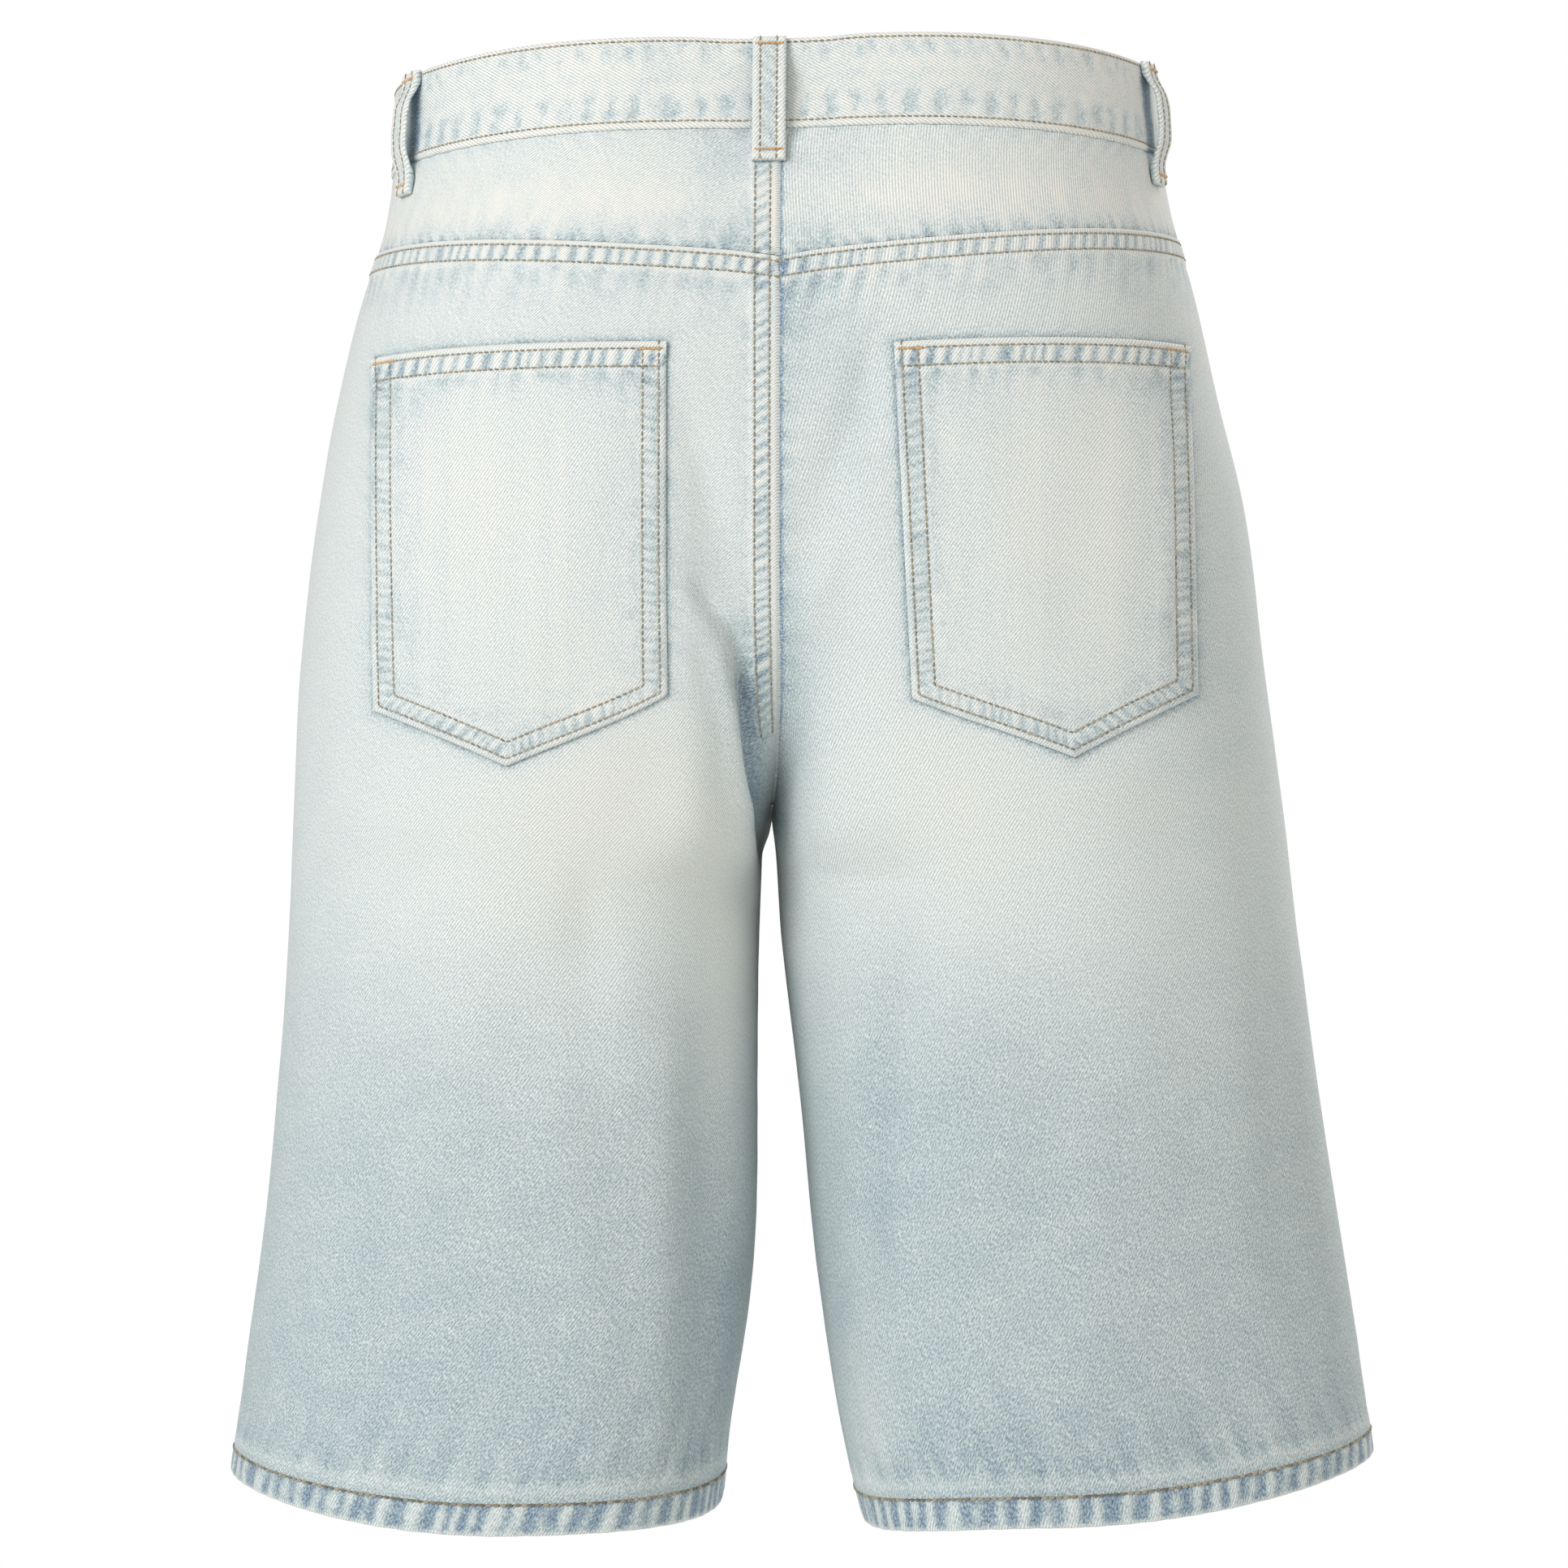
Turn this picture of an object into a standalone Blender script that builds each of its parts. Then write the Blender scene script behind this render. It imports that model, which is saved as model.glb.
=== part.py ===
"""Knee-length denim shorts, filled out as on a wearer, with every cut piece as its own solid.

Frame: +Z up, the front faces -Y, the wearer's left is +X. The origin is the middle of the
waist opening, halfway up the waistband at the side seams. Tables are in millimetres. A "drop"
is a depth below the waistband's top edge at the side seams, and a "level" names a row of the
cloth by its drop at the side seam. Each half of the garment has a run from 0 at the centre
back (below the crotch, the inseam) over 0.5 at the side seam to 1 at the centre front.
"""
import math

import bmesh
import bpy
import numpy as np

MM = 0.001

# Driving sizes, in millimetres.
BAND_HEIGHT = 38.0
BAND_RISE = 19.0
CLOTH = 1.2
SEAM_GAP = 0.3
BAND_GAP = 0.5
LAY_GAP = 0.75
BAND_PROUD = 0.8
BAND_THICK = 2.4
HEM_HEIGHT = 14.0
HEM_PROUD = 0.5
HEM_THICK = 2.6
CROTCH_LEVEL = 360.0
HEM_LEVEL = 598.5
CENTRE_GAP = 0.2
LAP_WIDTH = 10.5
LAP_PROUD = 0.7
LAP_END = 235.0

# The garment sits a little higher on its right: drop gained for each millimetre to the left.
SIDE_TILT = 0.018

# Half widths at the side seams, left and right.
OUTLINE = {
    "level": (0, 20, 38, 64, 93, 121, 150, 178, 206, 250, 316, 372, 429, 486, 542, 598.5),
    "left": (164.5, 164.5, 166, 170, 179, 186, 192, 196.5, 200.5, 204.5, 208, 211, 215.5, 221.5, 229.5, 237),
    "right": (165.5, 167, 168.5, 173, 181, 187.5, 194, 201, 206, 211, 220, 226.5, 234, 243, 252, 260),
}

# The seat seam in the centre plane, from the waist down the back, and up the front.
SEAT_SEAM = {
    "level": (0, 38, 85, 135, 185, 235, 275, 305, 328, 346, 360),
    "back_drop": (-5, 33, 81, 130, 177, 221, 250, 275, 294, 307.5, 315),
    "back_y": (118, 124, 139, 147, 149, 144, 133, 113, 86, 52, 0),
    "front_drop": (12, 49, 92, 138, 182, 222, 250, 273, 291.5, 306.5, 315),
    "front_y": (-112, -117, -121, -122, -121, -117, -108, -95, -76, -46, 0),
    "x": (-4.5, -4.5, -4.5, -4.5, -4.5, -4.5, -4.5, -4.0, -2.8, -1.0, 1.5),
}

# The inseams: the drop and the distance from the centre plane on each leg.
INSEAM = {
    "level": (360, 367, 378, 400, 430, 460, 500, 540, 575, 598.5),
    "drop": (315, 323, 336, 364, 403, 440, 488, 538, 585, 615.5),
    "left": (1.7, 4.6, 5.9, 6.9, 7.6, 7.8, 8.2, 12.5, 20.0, 23.5),
    "right": (-1.3, -0.2, 0.9, 2.6, 7.0, 11.5, 16.0, 22.5, 31.0, 39.0),
}

# The fullest lines of the back and the front on each half, and how a section turns to its seam.
FULLNESS = {
    "level": (0, 38, 85, 135, 185, 235, 275, 305, 328, 346, 360, 400, 450, 500, 550, 598.5),
    "back_x": (55, 48, 47, 52, 60, 70, 80, 88, 94, 98, 101, 105, 108, 109, 109, 108),
    "back_y": (118.5, 125, 140, 149, 152.5, 152, 149, 146, 143, 140, 138, 131, 122, 114, 107, 102),
    "back_drop": (-6.5, 32.5, 81.5, 131, 180, 229, 265, 293, 315, 332, 346, 388, 443, 500, 557, 616),
    "front_x": (35, 38, 42, 48, 56, 66, 76, 85, 91, 95, 98, 104, 110, 116, 121, 125),
    "front_y": (-112.5, -118, -123, -126, -127, -126, -125, -124, -122, -121, -120, -118, -115,
                -112, -109, -106),
    "front_drop": (12, 49, 92, 138, 184, 230, 266, 293, 315, 332, 346, 388, 442, 497, 552, 608),
    "side_y": (2, 2, 3, 5, 6, 6, 6, 5, 5, 4, 4, 3, 2, 0, -1, -2),
    "turn": (0, 0, 0, 0, 3, 14, 36, 58, 72, 82, 90, 90, 90, 90, 90, 90),
    "dip": (0, 0, 0, 0, 0, 0, 4, 10, 18, 26, 30, 22, 14, 7, 2, 0),
    "fill": (0.57, 0.58, 0.62, 0.64, 0.65, 0.64, 0.63, 0.62, 0.61, 0.6, 0.6, 0.59, 0.58, 0.57, 0.56, 0.55),
}

# How much lower the right hem hangs at its inseam.
RIGHT_INSEAM_DROP = 8.0

# How full a section's arc towards its seam is, as a part of its width or depth. The arc
# towards the side seam has its own column, "fill".
INNER_ARC = 0.70


def spline(knots, values):
    """A smooth curve through a table's rows: a natural cubic spline."""
    x = np.array(knots, dtype=float)
    y = np.array(values, dtype=float)
    step = np.diff(x)
    rows = len(x)
    matrix = np.eye(rows)
    right = np.zeros(rows)
    for i in range(1, rows - 1):
        matrix[i, i - 1] = step[i - 1]
        matrix[i, i] = 2 * (step[i - 1] + step[i])
        matrix[i, i + 1] = step[i]
        right[i] = 6 * ((y[i + 1] - y[i]) / step[i] - (y[i] - y[i - 1]) / step[i - 1])
    bend = np.linalg.solve(matrix, right)

    def at(q):
        q = np.clip(q, x[0], x[-1])
        i = np.clip(np.searchsorted(x, q) - 1, 0, rows - 2)
        a = (x[i + 1] - q) / step[i]
        b = (q - x[i]) / step[i]
        curve = (a ** 3 - a) * bend[i] + (b ** 3 - b) * bend[i + 1]
        return a * y[i] + b * y[i + 1] + curve * step[i] ** 2 / 6

    return at


def columns(table, key):
    """Each column of a table as a smooth curve over its key column."""
    return {name: spline(table[key], table[name]) for name in table if name != key}


OUTLINE_AT = columns(OUTLINE, "level")
SEAT_AT = columns(SEAT_SEAM, "level")
INSEAM_AT = columns(INSEAM, "level")
FULL_AT = columns(FULLNESS, "level")


def section(side, level, front):
    """The two arcs of a section from its seam over the fullest line to the side seam.

    Each arc is a cubic curve with four controls, in (x, y, drop).
    """
    hand = "left" if side > 0 else "right"
    seat = level < CROTCH_LEVEL
    slant = 0.0
    if side < 0:
        slant = RIGHT_INSEAM_DROP * np.clip((level - CROTCH_LEVEL) / (HEM_LEVEL - CROTCH_LEVEL), 0, 1)
    width = OUTLINE_AT[hand](level)
    scale = width / OUTLINE_AT["left"](level)
    face = "front" if front else "back"
    full_x = FULL_AT[face + "_x"](level) * scale
    full_y = FULL_AT[face + "_y"](level)
    full_drop = FULL_AT[face + "_drop"](level)
    seam_x = np.where(seat, side * SEAT_AT["x"](level) + CENTRE_GAP, INSEAM_AT[hand](level))
    seam_y = np.where(seat, SEAT_AT[face + "_y"](level), 0.0)
    seam_drop = np.where(seat, SEAT_AT[face + "_drop"](level), INSEAM_AT["drop"](level) + slant)
    side_y = FULL_AT["side_y"](level)
    side_drop = level
    turn = np.radians(np.clip(FULL_AT["turn"](level), 0, 90))
    dip = np.clip(FULL_AT["dip"](level), 0, None)
    fill = FULL_AT["fill"](level)

    seam = np.stack([seam_x, seam_y, seam_drop], -1)
    reach_x = full_x - seam_x
    reach_y = full_y - seam_y
    seam_handle = np.stack([seam_x + INNER_ARC * np.cos(turn) * reach_x,
                            seam_y + INNER_ARC * np.sin(turn) * reach_y,
                            seam_drop + dip], -1)
    full = np.stack([full_x, full_y, full_drop], -1)
    inner_handle = np.stack([full_x - INNER_ARC * reach_x, full_y, full_drop], -1)
    outer_handle = np.stack([full_x + fill * (width - full_x), full_y, full_drop], -1)
    edge = np.stack([width, side_y, side_drop], -1)
    edge_handle = np.stack([width, side_y + fill * (full_y - side_y), side_drop], -1)
    inner = np.stack([seam, seam_handle, inner_handle, full], -2)
    outer = np.stack([full, outer_handle, edge_handle, edge], -2)
    return inner, outer


def bezier(controls, u):
    """Points on cubic arcs, one parameter for each."""
    u = u[..., None]
    v = 1 - u
    a, b, c, d = (controls[..., i, :] for i in range(4))
    return v ** 3 * a + 3 * v ** 2 * u * b + 3 * v * u ** 2 * c + u ** 3 * d


ARC_STEPS = 12


def half_points(side, share, level, front):
    """Points at an even share of the cloth between the seam (0) and the side seam (1)."""
    inner, outer = section(side, level, front)
    ticks = np.linspace(0, 1, ARC_STEPS + 1)
    path = []
    for arc in (inner, outer):
        for tick in ticks:
            path.append(bezier(arc, np.full(level.shape, tick)))
    path = np.stack(path, -2)
    length = np.linalg.norm(np.diff(path, axis=-2), axis=-1)
    along = np.concatenate([np.zeros(level.shape + (1,)), np.cumsum(length, axis=-1)], -1)
    goal = share * along[..., -1]
    place = np.sum(along <= goal[..., None], axis=-1) - 1
    place = np.clip(place, 0, along.shape[-1] - 2)
    start = np.take_along_axis(along, place[..., None], -1)[..., 0]
    stop = np.take_along_axis(along, place[..., None] + 1, -1)[..., 0]
    part = (goal - start) / np.maximum(stop - start, 1e-9)
    at = place + part
    on_outer = at >= ARC_STEPS + 1
    u_inner = np.clip(at / ARC_STEPS, 0, 1)
    u_outer = np.clip((at - ARC_STEPS - 1) / ARC_STEPS, 0, 1)
    points = np.where(on_outer[..., None], bezier(outer, u_outer), bezier(inner, u_inner))
    return points, along[..., -1]


def base(side, run, level):
    """Points on the plain form of one half, in (x, y, drop) with x away from the centre."""
    run = np.where(level >= CROTCH_LEVEL, run % 1.0, np.clip(run, 0, 1))
    back, _ = half_points(side, np.clip(2 * run, 0, 1), level, False)
    front, _ = half_points(side, np.clip(2 - 2 * run, 0, 1), level, True)
    return np.where((run > 0.5)[..., None], front, back)


# The largest folds: soft ridges (+) and troughs (-) along lines from one place to another.
# side, face, x and drop of the start, x and drop of the end, half width, depth.
FOLDS = (
    ("left", "back", 27, 235, 30, 330, 12, 2.5),
    ("left", "back", 33, 150, 12, 235, 11, -2.0),
    ("left", "back", 40, 290, 100, 420, 26, -3.0),
    ("left", "back", 60, 380, 75, 600, 24, 3.0),
    ("left", "back", 150, 330, 160, 600, 26, -2.5),
    ("left", "back", 180, 230, 190, 560, 18, 1.5),
    ("right", "back", 24, 210, 22, 330, 12, 2.5),
    ("right", "back", 45, 128, 20, 200, 11, -2.2),
    ("right", "back", 48, 330, 66, 460, 18, -3.5),
    ("right", "back", 84, 400, 110, 600, 26, 2.5),
    ("right", "back", 170, 300, 190, 600, 26, -2.5),
    ("left", "front", 30, 212, 86, 250, 14, 2.5),
    ("left", "front", 34, 240, 110, 300, 14, -2.5),
    ("left", "front", 70, 330, 90, 600, 26, 3.0),
    ("left", "front", 150, 300, 165, 600, 26, -2.5),
    ("right", "front", 28, 216, 84, 262, 14, 2.5),
    ("right", "front", 36, 246, 118, 312, 15, -2.5),
    ("right", "front", 84, 340, 104, 600, 28, 3.0),
    ("right", "front", 168, 300, 186, 600, 26, -2.5),
)
FOLD_END = 30.0
FOLD_FADE = 35.0


def smooth_step(value):
    """0 below 0, 1 above 1, and a soft rise between."""
    value = np.clip(value, 0, 1)
    return value * value * (3 - 2 * value)


def fold_height(side, points):
    """How far the folds lift the cloth at points of the plain form."""
    height = np.zeros(points.shape[:-1])
    hand = "left" if side > 0 else "right"
    for fold_hand, face, x0, drop0, x1, drop1, wide, deep in FOLDS:
        if fold_hand != hand:
            continue
        line = np.array([x1 - x0, drop1 - drop0], dtype=float)
        length = np.hypot(*line)
        line = line / length
        offset = points[..., [0, 2]] - np.array([x0, drop0], dtype=float)
        along = offset @ line
        across = offset @ np.array([-line[1], line[0]])
        ends = smooth_step(along / FOLD_END + 0.5) * smooth_step((length - along) / FOLD_END + 0.5)
        facing = points[..., 1] if face == "back" else -points[..., 1]
        height += deep * np.exp(-(across / wide) ** 2) * ends * smooth_step(facing / FOLD_FADE)
    return height


# The steps over which the cloth's slope is taken.
RUN_STEP = 0.002
LEVEL_STEP = 0.8


def cloth(side, run, level, lift):
    """World points of the cloth's outer face of one half, moved out by lift millimetres."""
    run, level, lift = np.broadcast_arrays(np.asarray(run, float), np.asarray(level, float),
                                           np.asarray(lift, float))
    centre = base(side, run, level)
    across = base(side, run + RUN_STEP, level) - base(side, run - RUN_STEP, level)
    seat_end = CROTCH_LEVEL - 1e-6
    below = np.where(level < CROTCH_LEVEL, np.minimum(level + LEVEL_STEP, seat_end), level + LEVEL_STEP)
    above = np.where(level < CROTCH_LEVEL, level - LEVEL_STEP, np.maximum(level - LEVEL_STEP, CROTCH_LEVEL))
    down = base(side, run, below) - base(side, run, above)
    normal = np.cross(across, down)
    normal = -normal / np.linalg.norm(normal, axis=-1, keepdims=True)
    moved = centre + normal * (fold_height(side, centre) + lift)[..., None]
    across = side * moved[..., 0]
    return np.stack([across, moved[..., 1], BAND_RISE - moved[..., 2] - SIDE_TILT * across], -1) * MM


def run_length(side, level, front):
    """Cloth length of half a section, from its seam to the side seam."""
    level = np.asarray(level, float)
    _, length = half_points(side, np.ones(level.shape), level, front)
    return length


def clear_scene():
    """Start from an empty scene."""
    for thing in list(bpy.data.objects):
        bpy.data.objects.remove(thing, do_unlink=True)


def finish_material(name, colour, roughness, metallic=0.0):
    """A Principled material of one finish."""
    material = bpy.data.materials.get(name) or bpy.data.materials.new(name)
    material.use_nodes = True
    shader = material.node_tree.nodes["Principled BSDF"]
    shader.inputs["Base Color"].default_value = (*colour, 1.0)
    shader.inputs["Roughness"].default_value = roughness
    shader.inputs["Metallic"].default_value = metallic
    return material


DENIM = ("washed denim", (0.60, 0.68, 0.73), 0.9)
SHADED_DENIM = ("denim at the seams", (0.47, 0.57, 0.66), 0.9)
TAPE = ("zip tape", (0.62, 0.60, 0.52), 0.85)
METAL = ("nickel finish", (0.62, 0.60, 0.56), 0.35, 1.0)


def add_object(name, mesh, finish):
    """Link a mesh to the scene under its piece's name."""
    mesh.name = name
    item = bpy.data.objects.new(name, mesh)
    bpy.context.scene.collection.objects.link(item)
    mesh.materials.append(finish_material(*finish))
    return item


def wall(name, outer, inner, finish, ring=False):
    """A closed wall between two grids of points; a ring's last column meets its first."""
    rows, cols = outer.shape[:2]
    last = cols if ring else cols - 1
    points = np.concatenate([outer.reshape(-1, 3), inner.reshape(-1, 3)])
    under = rows * cols

    def spot(row, col):
        return row * cols + col % cols

    faces = []
    for row in range(rows - 1):
        for col in range(last):
            corner = (spot(row, col), spot(row, col + 1), spot(row + 1, col + 1), spot(row + 1, col))
            faces.append(corner)
            faces.append(tuple(under + i for i in reversed(corner)))
    for row, flip in ((0, False), (rows - 1, True)):
        for col in range(last):
            near, far = spot(row, col + 1), spot(row, col)
            edge = (near, far, under + far, under + near)
            faces.append(tuple(reversed(edge)) if flip else edge)
    if not ring:
        for col, flip in ((0, False), (cols - 1, True)):
            for row in range(rows - 1):
                near, far = spot(row, col), spot(row + 1, col)
                edge = (near, far, under + far, under + near)
                faces.append(tuple(reversed(edge)) if flip else edge)
    mesh = bpy.data.meshes.new(name)
    mesh.from_pydata(points.tolist(), [], faces)
    shape = bmesh.new()
    shape.from_mesh(mesh)
    bmesh.ops.recalc_face_normals(shape, faces=shape.faces)
    shape.to_mesh(mesh)
    shape.free()
    return add_object(name, mesh, finish)


def even(start, stop, count):
    """Evenly spaced places, both ends included."""
    return list(np.linspace(start, stop, count))


# The yoke seam, a shallow V: its level by the share of the way from centre back to side seam.
YOKE_LINE = spline((0, 0.1, 0.2, 0.4, 0.6, 0.8, 1), (91.2, 87.4, 85, 80.4, 76.2, 73.5, 71))

# The scooped pocket mouth: its depth below the band at the side seam, and its reach along it.
MOUTH_DEPTH = 78.0
MOUTH_REACH = 0.5


def mouth_level(share):
    """The level of the front's top edge, by the share of the way from centre front to side."""
    into = np.clip((share - (1 - MOUTH_REACH)) / MOUTH_REACH, 0, 1)
    return BAND_HEIGHT + BAND_GAP + MOUTH_DEPTH * np.sin(into * math.pi / 2)


def flat_level(value):
    """A level that is the same all along."""
    return lambda share: np.full(np.shape(share), float(value))


def lap_columns(count):
    """Places of the columns near a lapped seam, and nominal shares for all the columns."""
    places = [SEAM_GAP / 2, LAP_WIDTH, LAP_WIDTH + CLOTH]
    shares = [0.0, 0.03, 0.04] + even(0.05, 1.0, count)[1:]
    return places, shares


PANEL_COLUMNS = 16
COLUMN_EASE = 1.15
UPPER_ROWS = 13
CROTCH_EASE = 1.35
LOWER_ROWS = 13


def spread(side, front, level, places, count):
    """Shares along one row: fixed places near the seam, then even steps to the side seam."""
    length = run_length(side, level, front)
    near = np.array(places) / length[:len(places)]
    stop = 1 - SEAM_GAP / 2 / length[-1]
    rest = near[-1] + (stop - near[-1]) * np.linspace(0, 1, count)[1:] ** COLUMN_EASE
    return np.concatenate([near, rest])


def panel(name, side, front, rows, count):
    """A panel from its seam to the side seam; rows hold (level by share, lift by column)."""
    places, shares = lap_columns(count)
    runs = []
    levels = []
    lifts = []
    for level_at, lift in rows:
        level = level_at(np.array(shares))
        share = spread(side, front, level, places, count)
        lapped = np.zeros(level.shape)
        if side > 0 and level[0] < LAP_END:
            lapped[:2] = LAP_PROUD
        runs.append(1 - share / 2 if front else share / 2)
        levels.append(level)
        lifts.append(np.maximum(lapped, lift))
    run, level, lift = np.array(runs), np.array(levels), np.array(lifts)
    wall(name, cloth(side, run, level, lift), cloth(side, run, level, -CLOTH), DENIM)


def between(top, bottom, part):
    """A row that lies part of the way from one line of levels to another."""
    return lambda share: top(share) * (1 - part) + bottom(share) * part


def along_yoke(distance):
    """A row that follows the yoke seam, a distance below it."""
    return lambda share: YOKE_LINE(share) + distance


def build_leg_panels():
    """The back and front panel of each leg, from the yoke or the band down to the hem.

    The back panels' top edges lap over the yokes, and the left panels' seat edges over the right.
    """
    hem_top = flat_level(HEM_LEVEL - HEM_HEIGHT - SEAM_GAP)
    crotch = flat_level(CROTCH_LEVEL)
    upper = [1 - (1 - part) ** CROTCH_EASE for part in even(0, 1, UPPER_ROWS)]
    lower = even(0, 1, LOWER_ROWS)[1:]
    for side, hand in ((1, "left"), (-1, "right")):
        rows = [(along_yoke(SEAM_GAP / 2), LAP_PROUD), (along_yoke(LAP_WIDTH), LAP_PROUD)]
        start = along_yoke(LAP_WIDTH + CLOTH)
        rows += [(between(start, crotch, part), 0.0) for part in upper]
        rows += [(between(crotch, hem_top, part), 0.0) for part in lower]
        panel(f"back_{hand}", side, False, rows, PANEL_COLUMNS)
        rows = [(between(mouth_level, crotch, part), 0.0) for part in upper]
        rows += [(between(crotch, hem_top, part), 0.0) for part in lower]
        panel(f"front_{hand}", side, True, rows, PANEL_COLUMNS)


YOKE_ROWS = 4


def build_yokes():
    """The V-shaped yokes between the band and the back panels."""
    top = flat_level(BAND_HEIGHT + BAND_GAP)
    for side, hand in ((1, "left"), (-1, "right")):
        foot = along_yoke(-SEAM_GAP / 2)
        rows = [(between(top, foot, part), 0.0) for part in even(0, 1, YOKE_ROWS)]
        panel(f"yoke_{hand}", side, False, rows, PANEL_COLUMNS)


# The band's right end, from its tip under the left end to where it is level with the rest:
# side, distance from the centre front, and share of its full depth under the left end.
UNDERLAP = (
    (1, 35.0, 1.0),
    (1, 24.0, 1.0),
    (1, 12.0, 1.0),
    (1, 3.0, 1.0),
    (-1, 6.0, 1.0),
    (-1, 16.0, 0.75),
    (-1, 28.0, 0.25),
    (-1, 38.0, 0.0),
)
UNDERLAP_SINK = BAND_THICK + SEAM_GAP + 0.05
BAND_START = 50.0
BAND_COLUMNS = 26
# The run of the two columns beside the centre back.
MIDDLE_RUN = 0.004


def front_run(side, level, distance):
    """The run of a place on the front at a distance from the centre front."""
    return 1 - distance / run_length(side, level, True) / 2


def build_waistband():
    """One doubled strip round the waist; its right end passes under its left end in front."""
    levels = np.array([0.0, BAND_HEIGHT / 2, BAND_HEIGHT])
    outer = []
    inner = []

    def add(side, run, lift):
        outer.append(cloth(side, run, levels, BAND_PROUD + lift))
        inner.append(cloth(side, run, levels, BAND_PROUD + lift - BAND_THICK))

    for side, distance, depth in UNDERLAP:
        add(side, front_run(side, levels, distance), -UNDERLAP_SINK * depth)
    start = front_run(-1, levels, BAND_START)
    for share in even(1, 0, BAND_COLUMNS):
        add(-1, MIDDLE_RUN + (start - MIDDLE_RUN) * share, 0.0)
    end = front_run(1, levels, SEAM_GAP)
    for share in even(0, 1, BAND_COLUMNS + 1):
        add(1, MIDDLE_RUN + (end - MIDDLE_RUN) * share, 0.0)
    wall("waistband", np.stack(outer, 1), np.stack(inner, 1), DENIM)


HEM_COLUMNS = 40
# The hem's foot turns in over its last millimetres: height of the turn, and how far it turns.
HEM_TURN = 1.5
HEM_TURN_IN = 0.5


def build_hems():
    """The turned-up hems: three layers, a little proud of the leg above them."""
    for side, hand in ((1, "left"), (-1, "right")):
        runs = np.arange(HEM_COLUMNS) / HEM_COLUMNS
        levels = np.array([HEM_LEVEL - HEM_HEIGHT, HEM_LEVEL - HEM_TURN, HEM_LEVEL])
        proud = np.array([HEM_PROUD, HEM_PROUD, HEM_PROUD - HEM_TURN_IN])
        run = np.tile(runs, (len(levels), 1))
        level = np.tile(levels[:, None], (1, len(runs)))
        lift = np.tile(proud[:, None], (1, len(runs)))
        outer = cloth(side, run, level, lift)
        inner = cloth(side, run, level, HEM_PROUD - HEM_THICK)
        wall(f"hem_{hand}", outer, inner, SHADED_DENIM, ring=True)


# How near the side seam a place may be looked for, and how often the search halves its step.
SEARCH_END = 0.92
SEARCH_STEPS = 24


def run_at(side, away, level, front):
    """The run at which a row lies a given distance from the centre plane."""
    away, level = np.broadcast_arrays(np.asarray(away, float), np.asarray(level, float))
    low = np.zeros(level.shape)
    high = np.full(level.shape, SEARCH_END)
    for _ in range(SEARCH_STEPS):
        middle = (low + high) / 2
        points, _ = half_points(side, middle, level, front)
        short = points[..., 0] < away
        low = np.where(short, middle, low)
        high = np.where(short, high, middle)
    share = (low + high) / 2
    return 1 - share / 2 if front else share / 2


# The back pockets' corners: distance from the centre plane and level. "in" is nearer the seam.
POCKETS = {
    "left": {"top_in": (41.0, 126.2), "top_out": (166.1, 123.8), "low_out": (162.5, 276.8),
             "tip": (106.6, 306.3), "low_in": (41.1, 280.2)},
    "right": {"top_in": (51.8, 128.3), "top_out": (174.9, 123.8), "low_out": (177.1, 275.2),
              "tip": (125.4, 306.4), "low_in": (59.4, 281.4)},
}
POCKET_ROWS = 11
POCKET_COLUMNS = 6
# The hem's foot, the step down from it and the first even row, as parts of a pocket's depth.
POCKET_HEM = 0.065
POCKET_HEM_STEP = 0.006
POCKET_BODY = 0.14
POCKET_HEM_PROUD = 0.6


def build_back_pockets():
    """The five-cornered patch pockets: hemmed at the top, laid on the back panels."""
    for side, hand in ((1, "left"), (-1, "right")):
        corner = {name: np.array(place) for name, place in POCKETS[hand].items()}
        tip_part = (corner["tip"][0] - corner["low_in"][0]) / (corner["low_out"][0] - corner["low_in"][0])
        parts = even(0, tip_part, POCKET_COLUMNS) + even(tip_part, 1, POCKET_COLUMNS)[1:]
        downs = [0, POCKET_HEM, POCKET_HEM + POCKET_HEM_STEP] + even(POCKET_BODY, 1, POCKET_ROWS - 2)
        places = []
        lifts = []
        for down in downs:
            row = []
            for part in parts:
                top = corner["top_in"] * (1 - part) + corner["top_out"] * part
                if part <= tip_part:
                    share = part / tip_part
                    low = corner["low_in"] * (1 - share) + corner["tip"] * share
                else:
                    share = (part - tip_part) / (1 - tip_part)
                    low = corner["tip"] * (1 - share) + corner["low_out"] * share
                row.append(top * (1 - down) + low * down)
            places.append(row)
            proud = POCKET_HEM_PROUD if down <= POCKET_HEM else 0.0
            lifts.append([LAY_GAP + CLOTH + proud] * len(parts))
        places = np.array(places)
        level = places[..., 1]
        run = run_at(side, places[..., 0], level, False)
        wall(f"back_pocket_{hand}", cloth(side, run, level, np.array(lifts)),
             cloth(side, run, level, LAY_GAP), DENIM)


BEARER_SINK = CLOTH + 0.8
BEARER_THICK = 1.0
BEARER_HIDDEN = 22.0
BEARER_BEYOND = 0.06
BEARER_COLUMNS = 11
BEARER_ROWS = 7


def build_pocket_bearers():
    """The cloth that shows in the front pockets' scooped mouths, just inside the fronts."""
    shares = np.array(even(1 - MOUTH_REACH - BEARER_BEYOND, 1, BEARER_COLUMNS))
    top = np.full(shares.shape, BAND_HEIGHT + BAND_GAP)
    foot = mouth_level(shares) + BEARER_HIDDEN
    for side, hand in ((1, "left"), (-1, "right")):
        level = np.array([top * (1 - part) + foot * part for part in even(0, 1, BEARER_ROWS)])
        stop = 1 - SEAM_GAP / 2 / run_length(side, level, True)
        run = 1 - np.minimum(np.tile(shares, (BEARER_ROWS, 1)), stop) / 2
        wall(f"pocket_bearer_{hand}", cloth(side, run, level, -BEARER_SINK),
             cloth(side, run, level, -BEARER_SINK - BEARER_THICK), DENIM)


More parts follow.
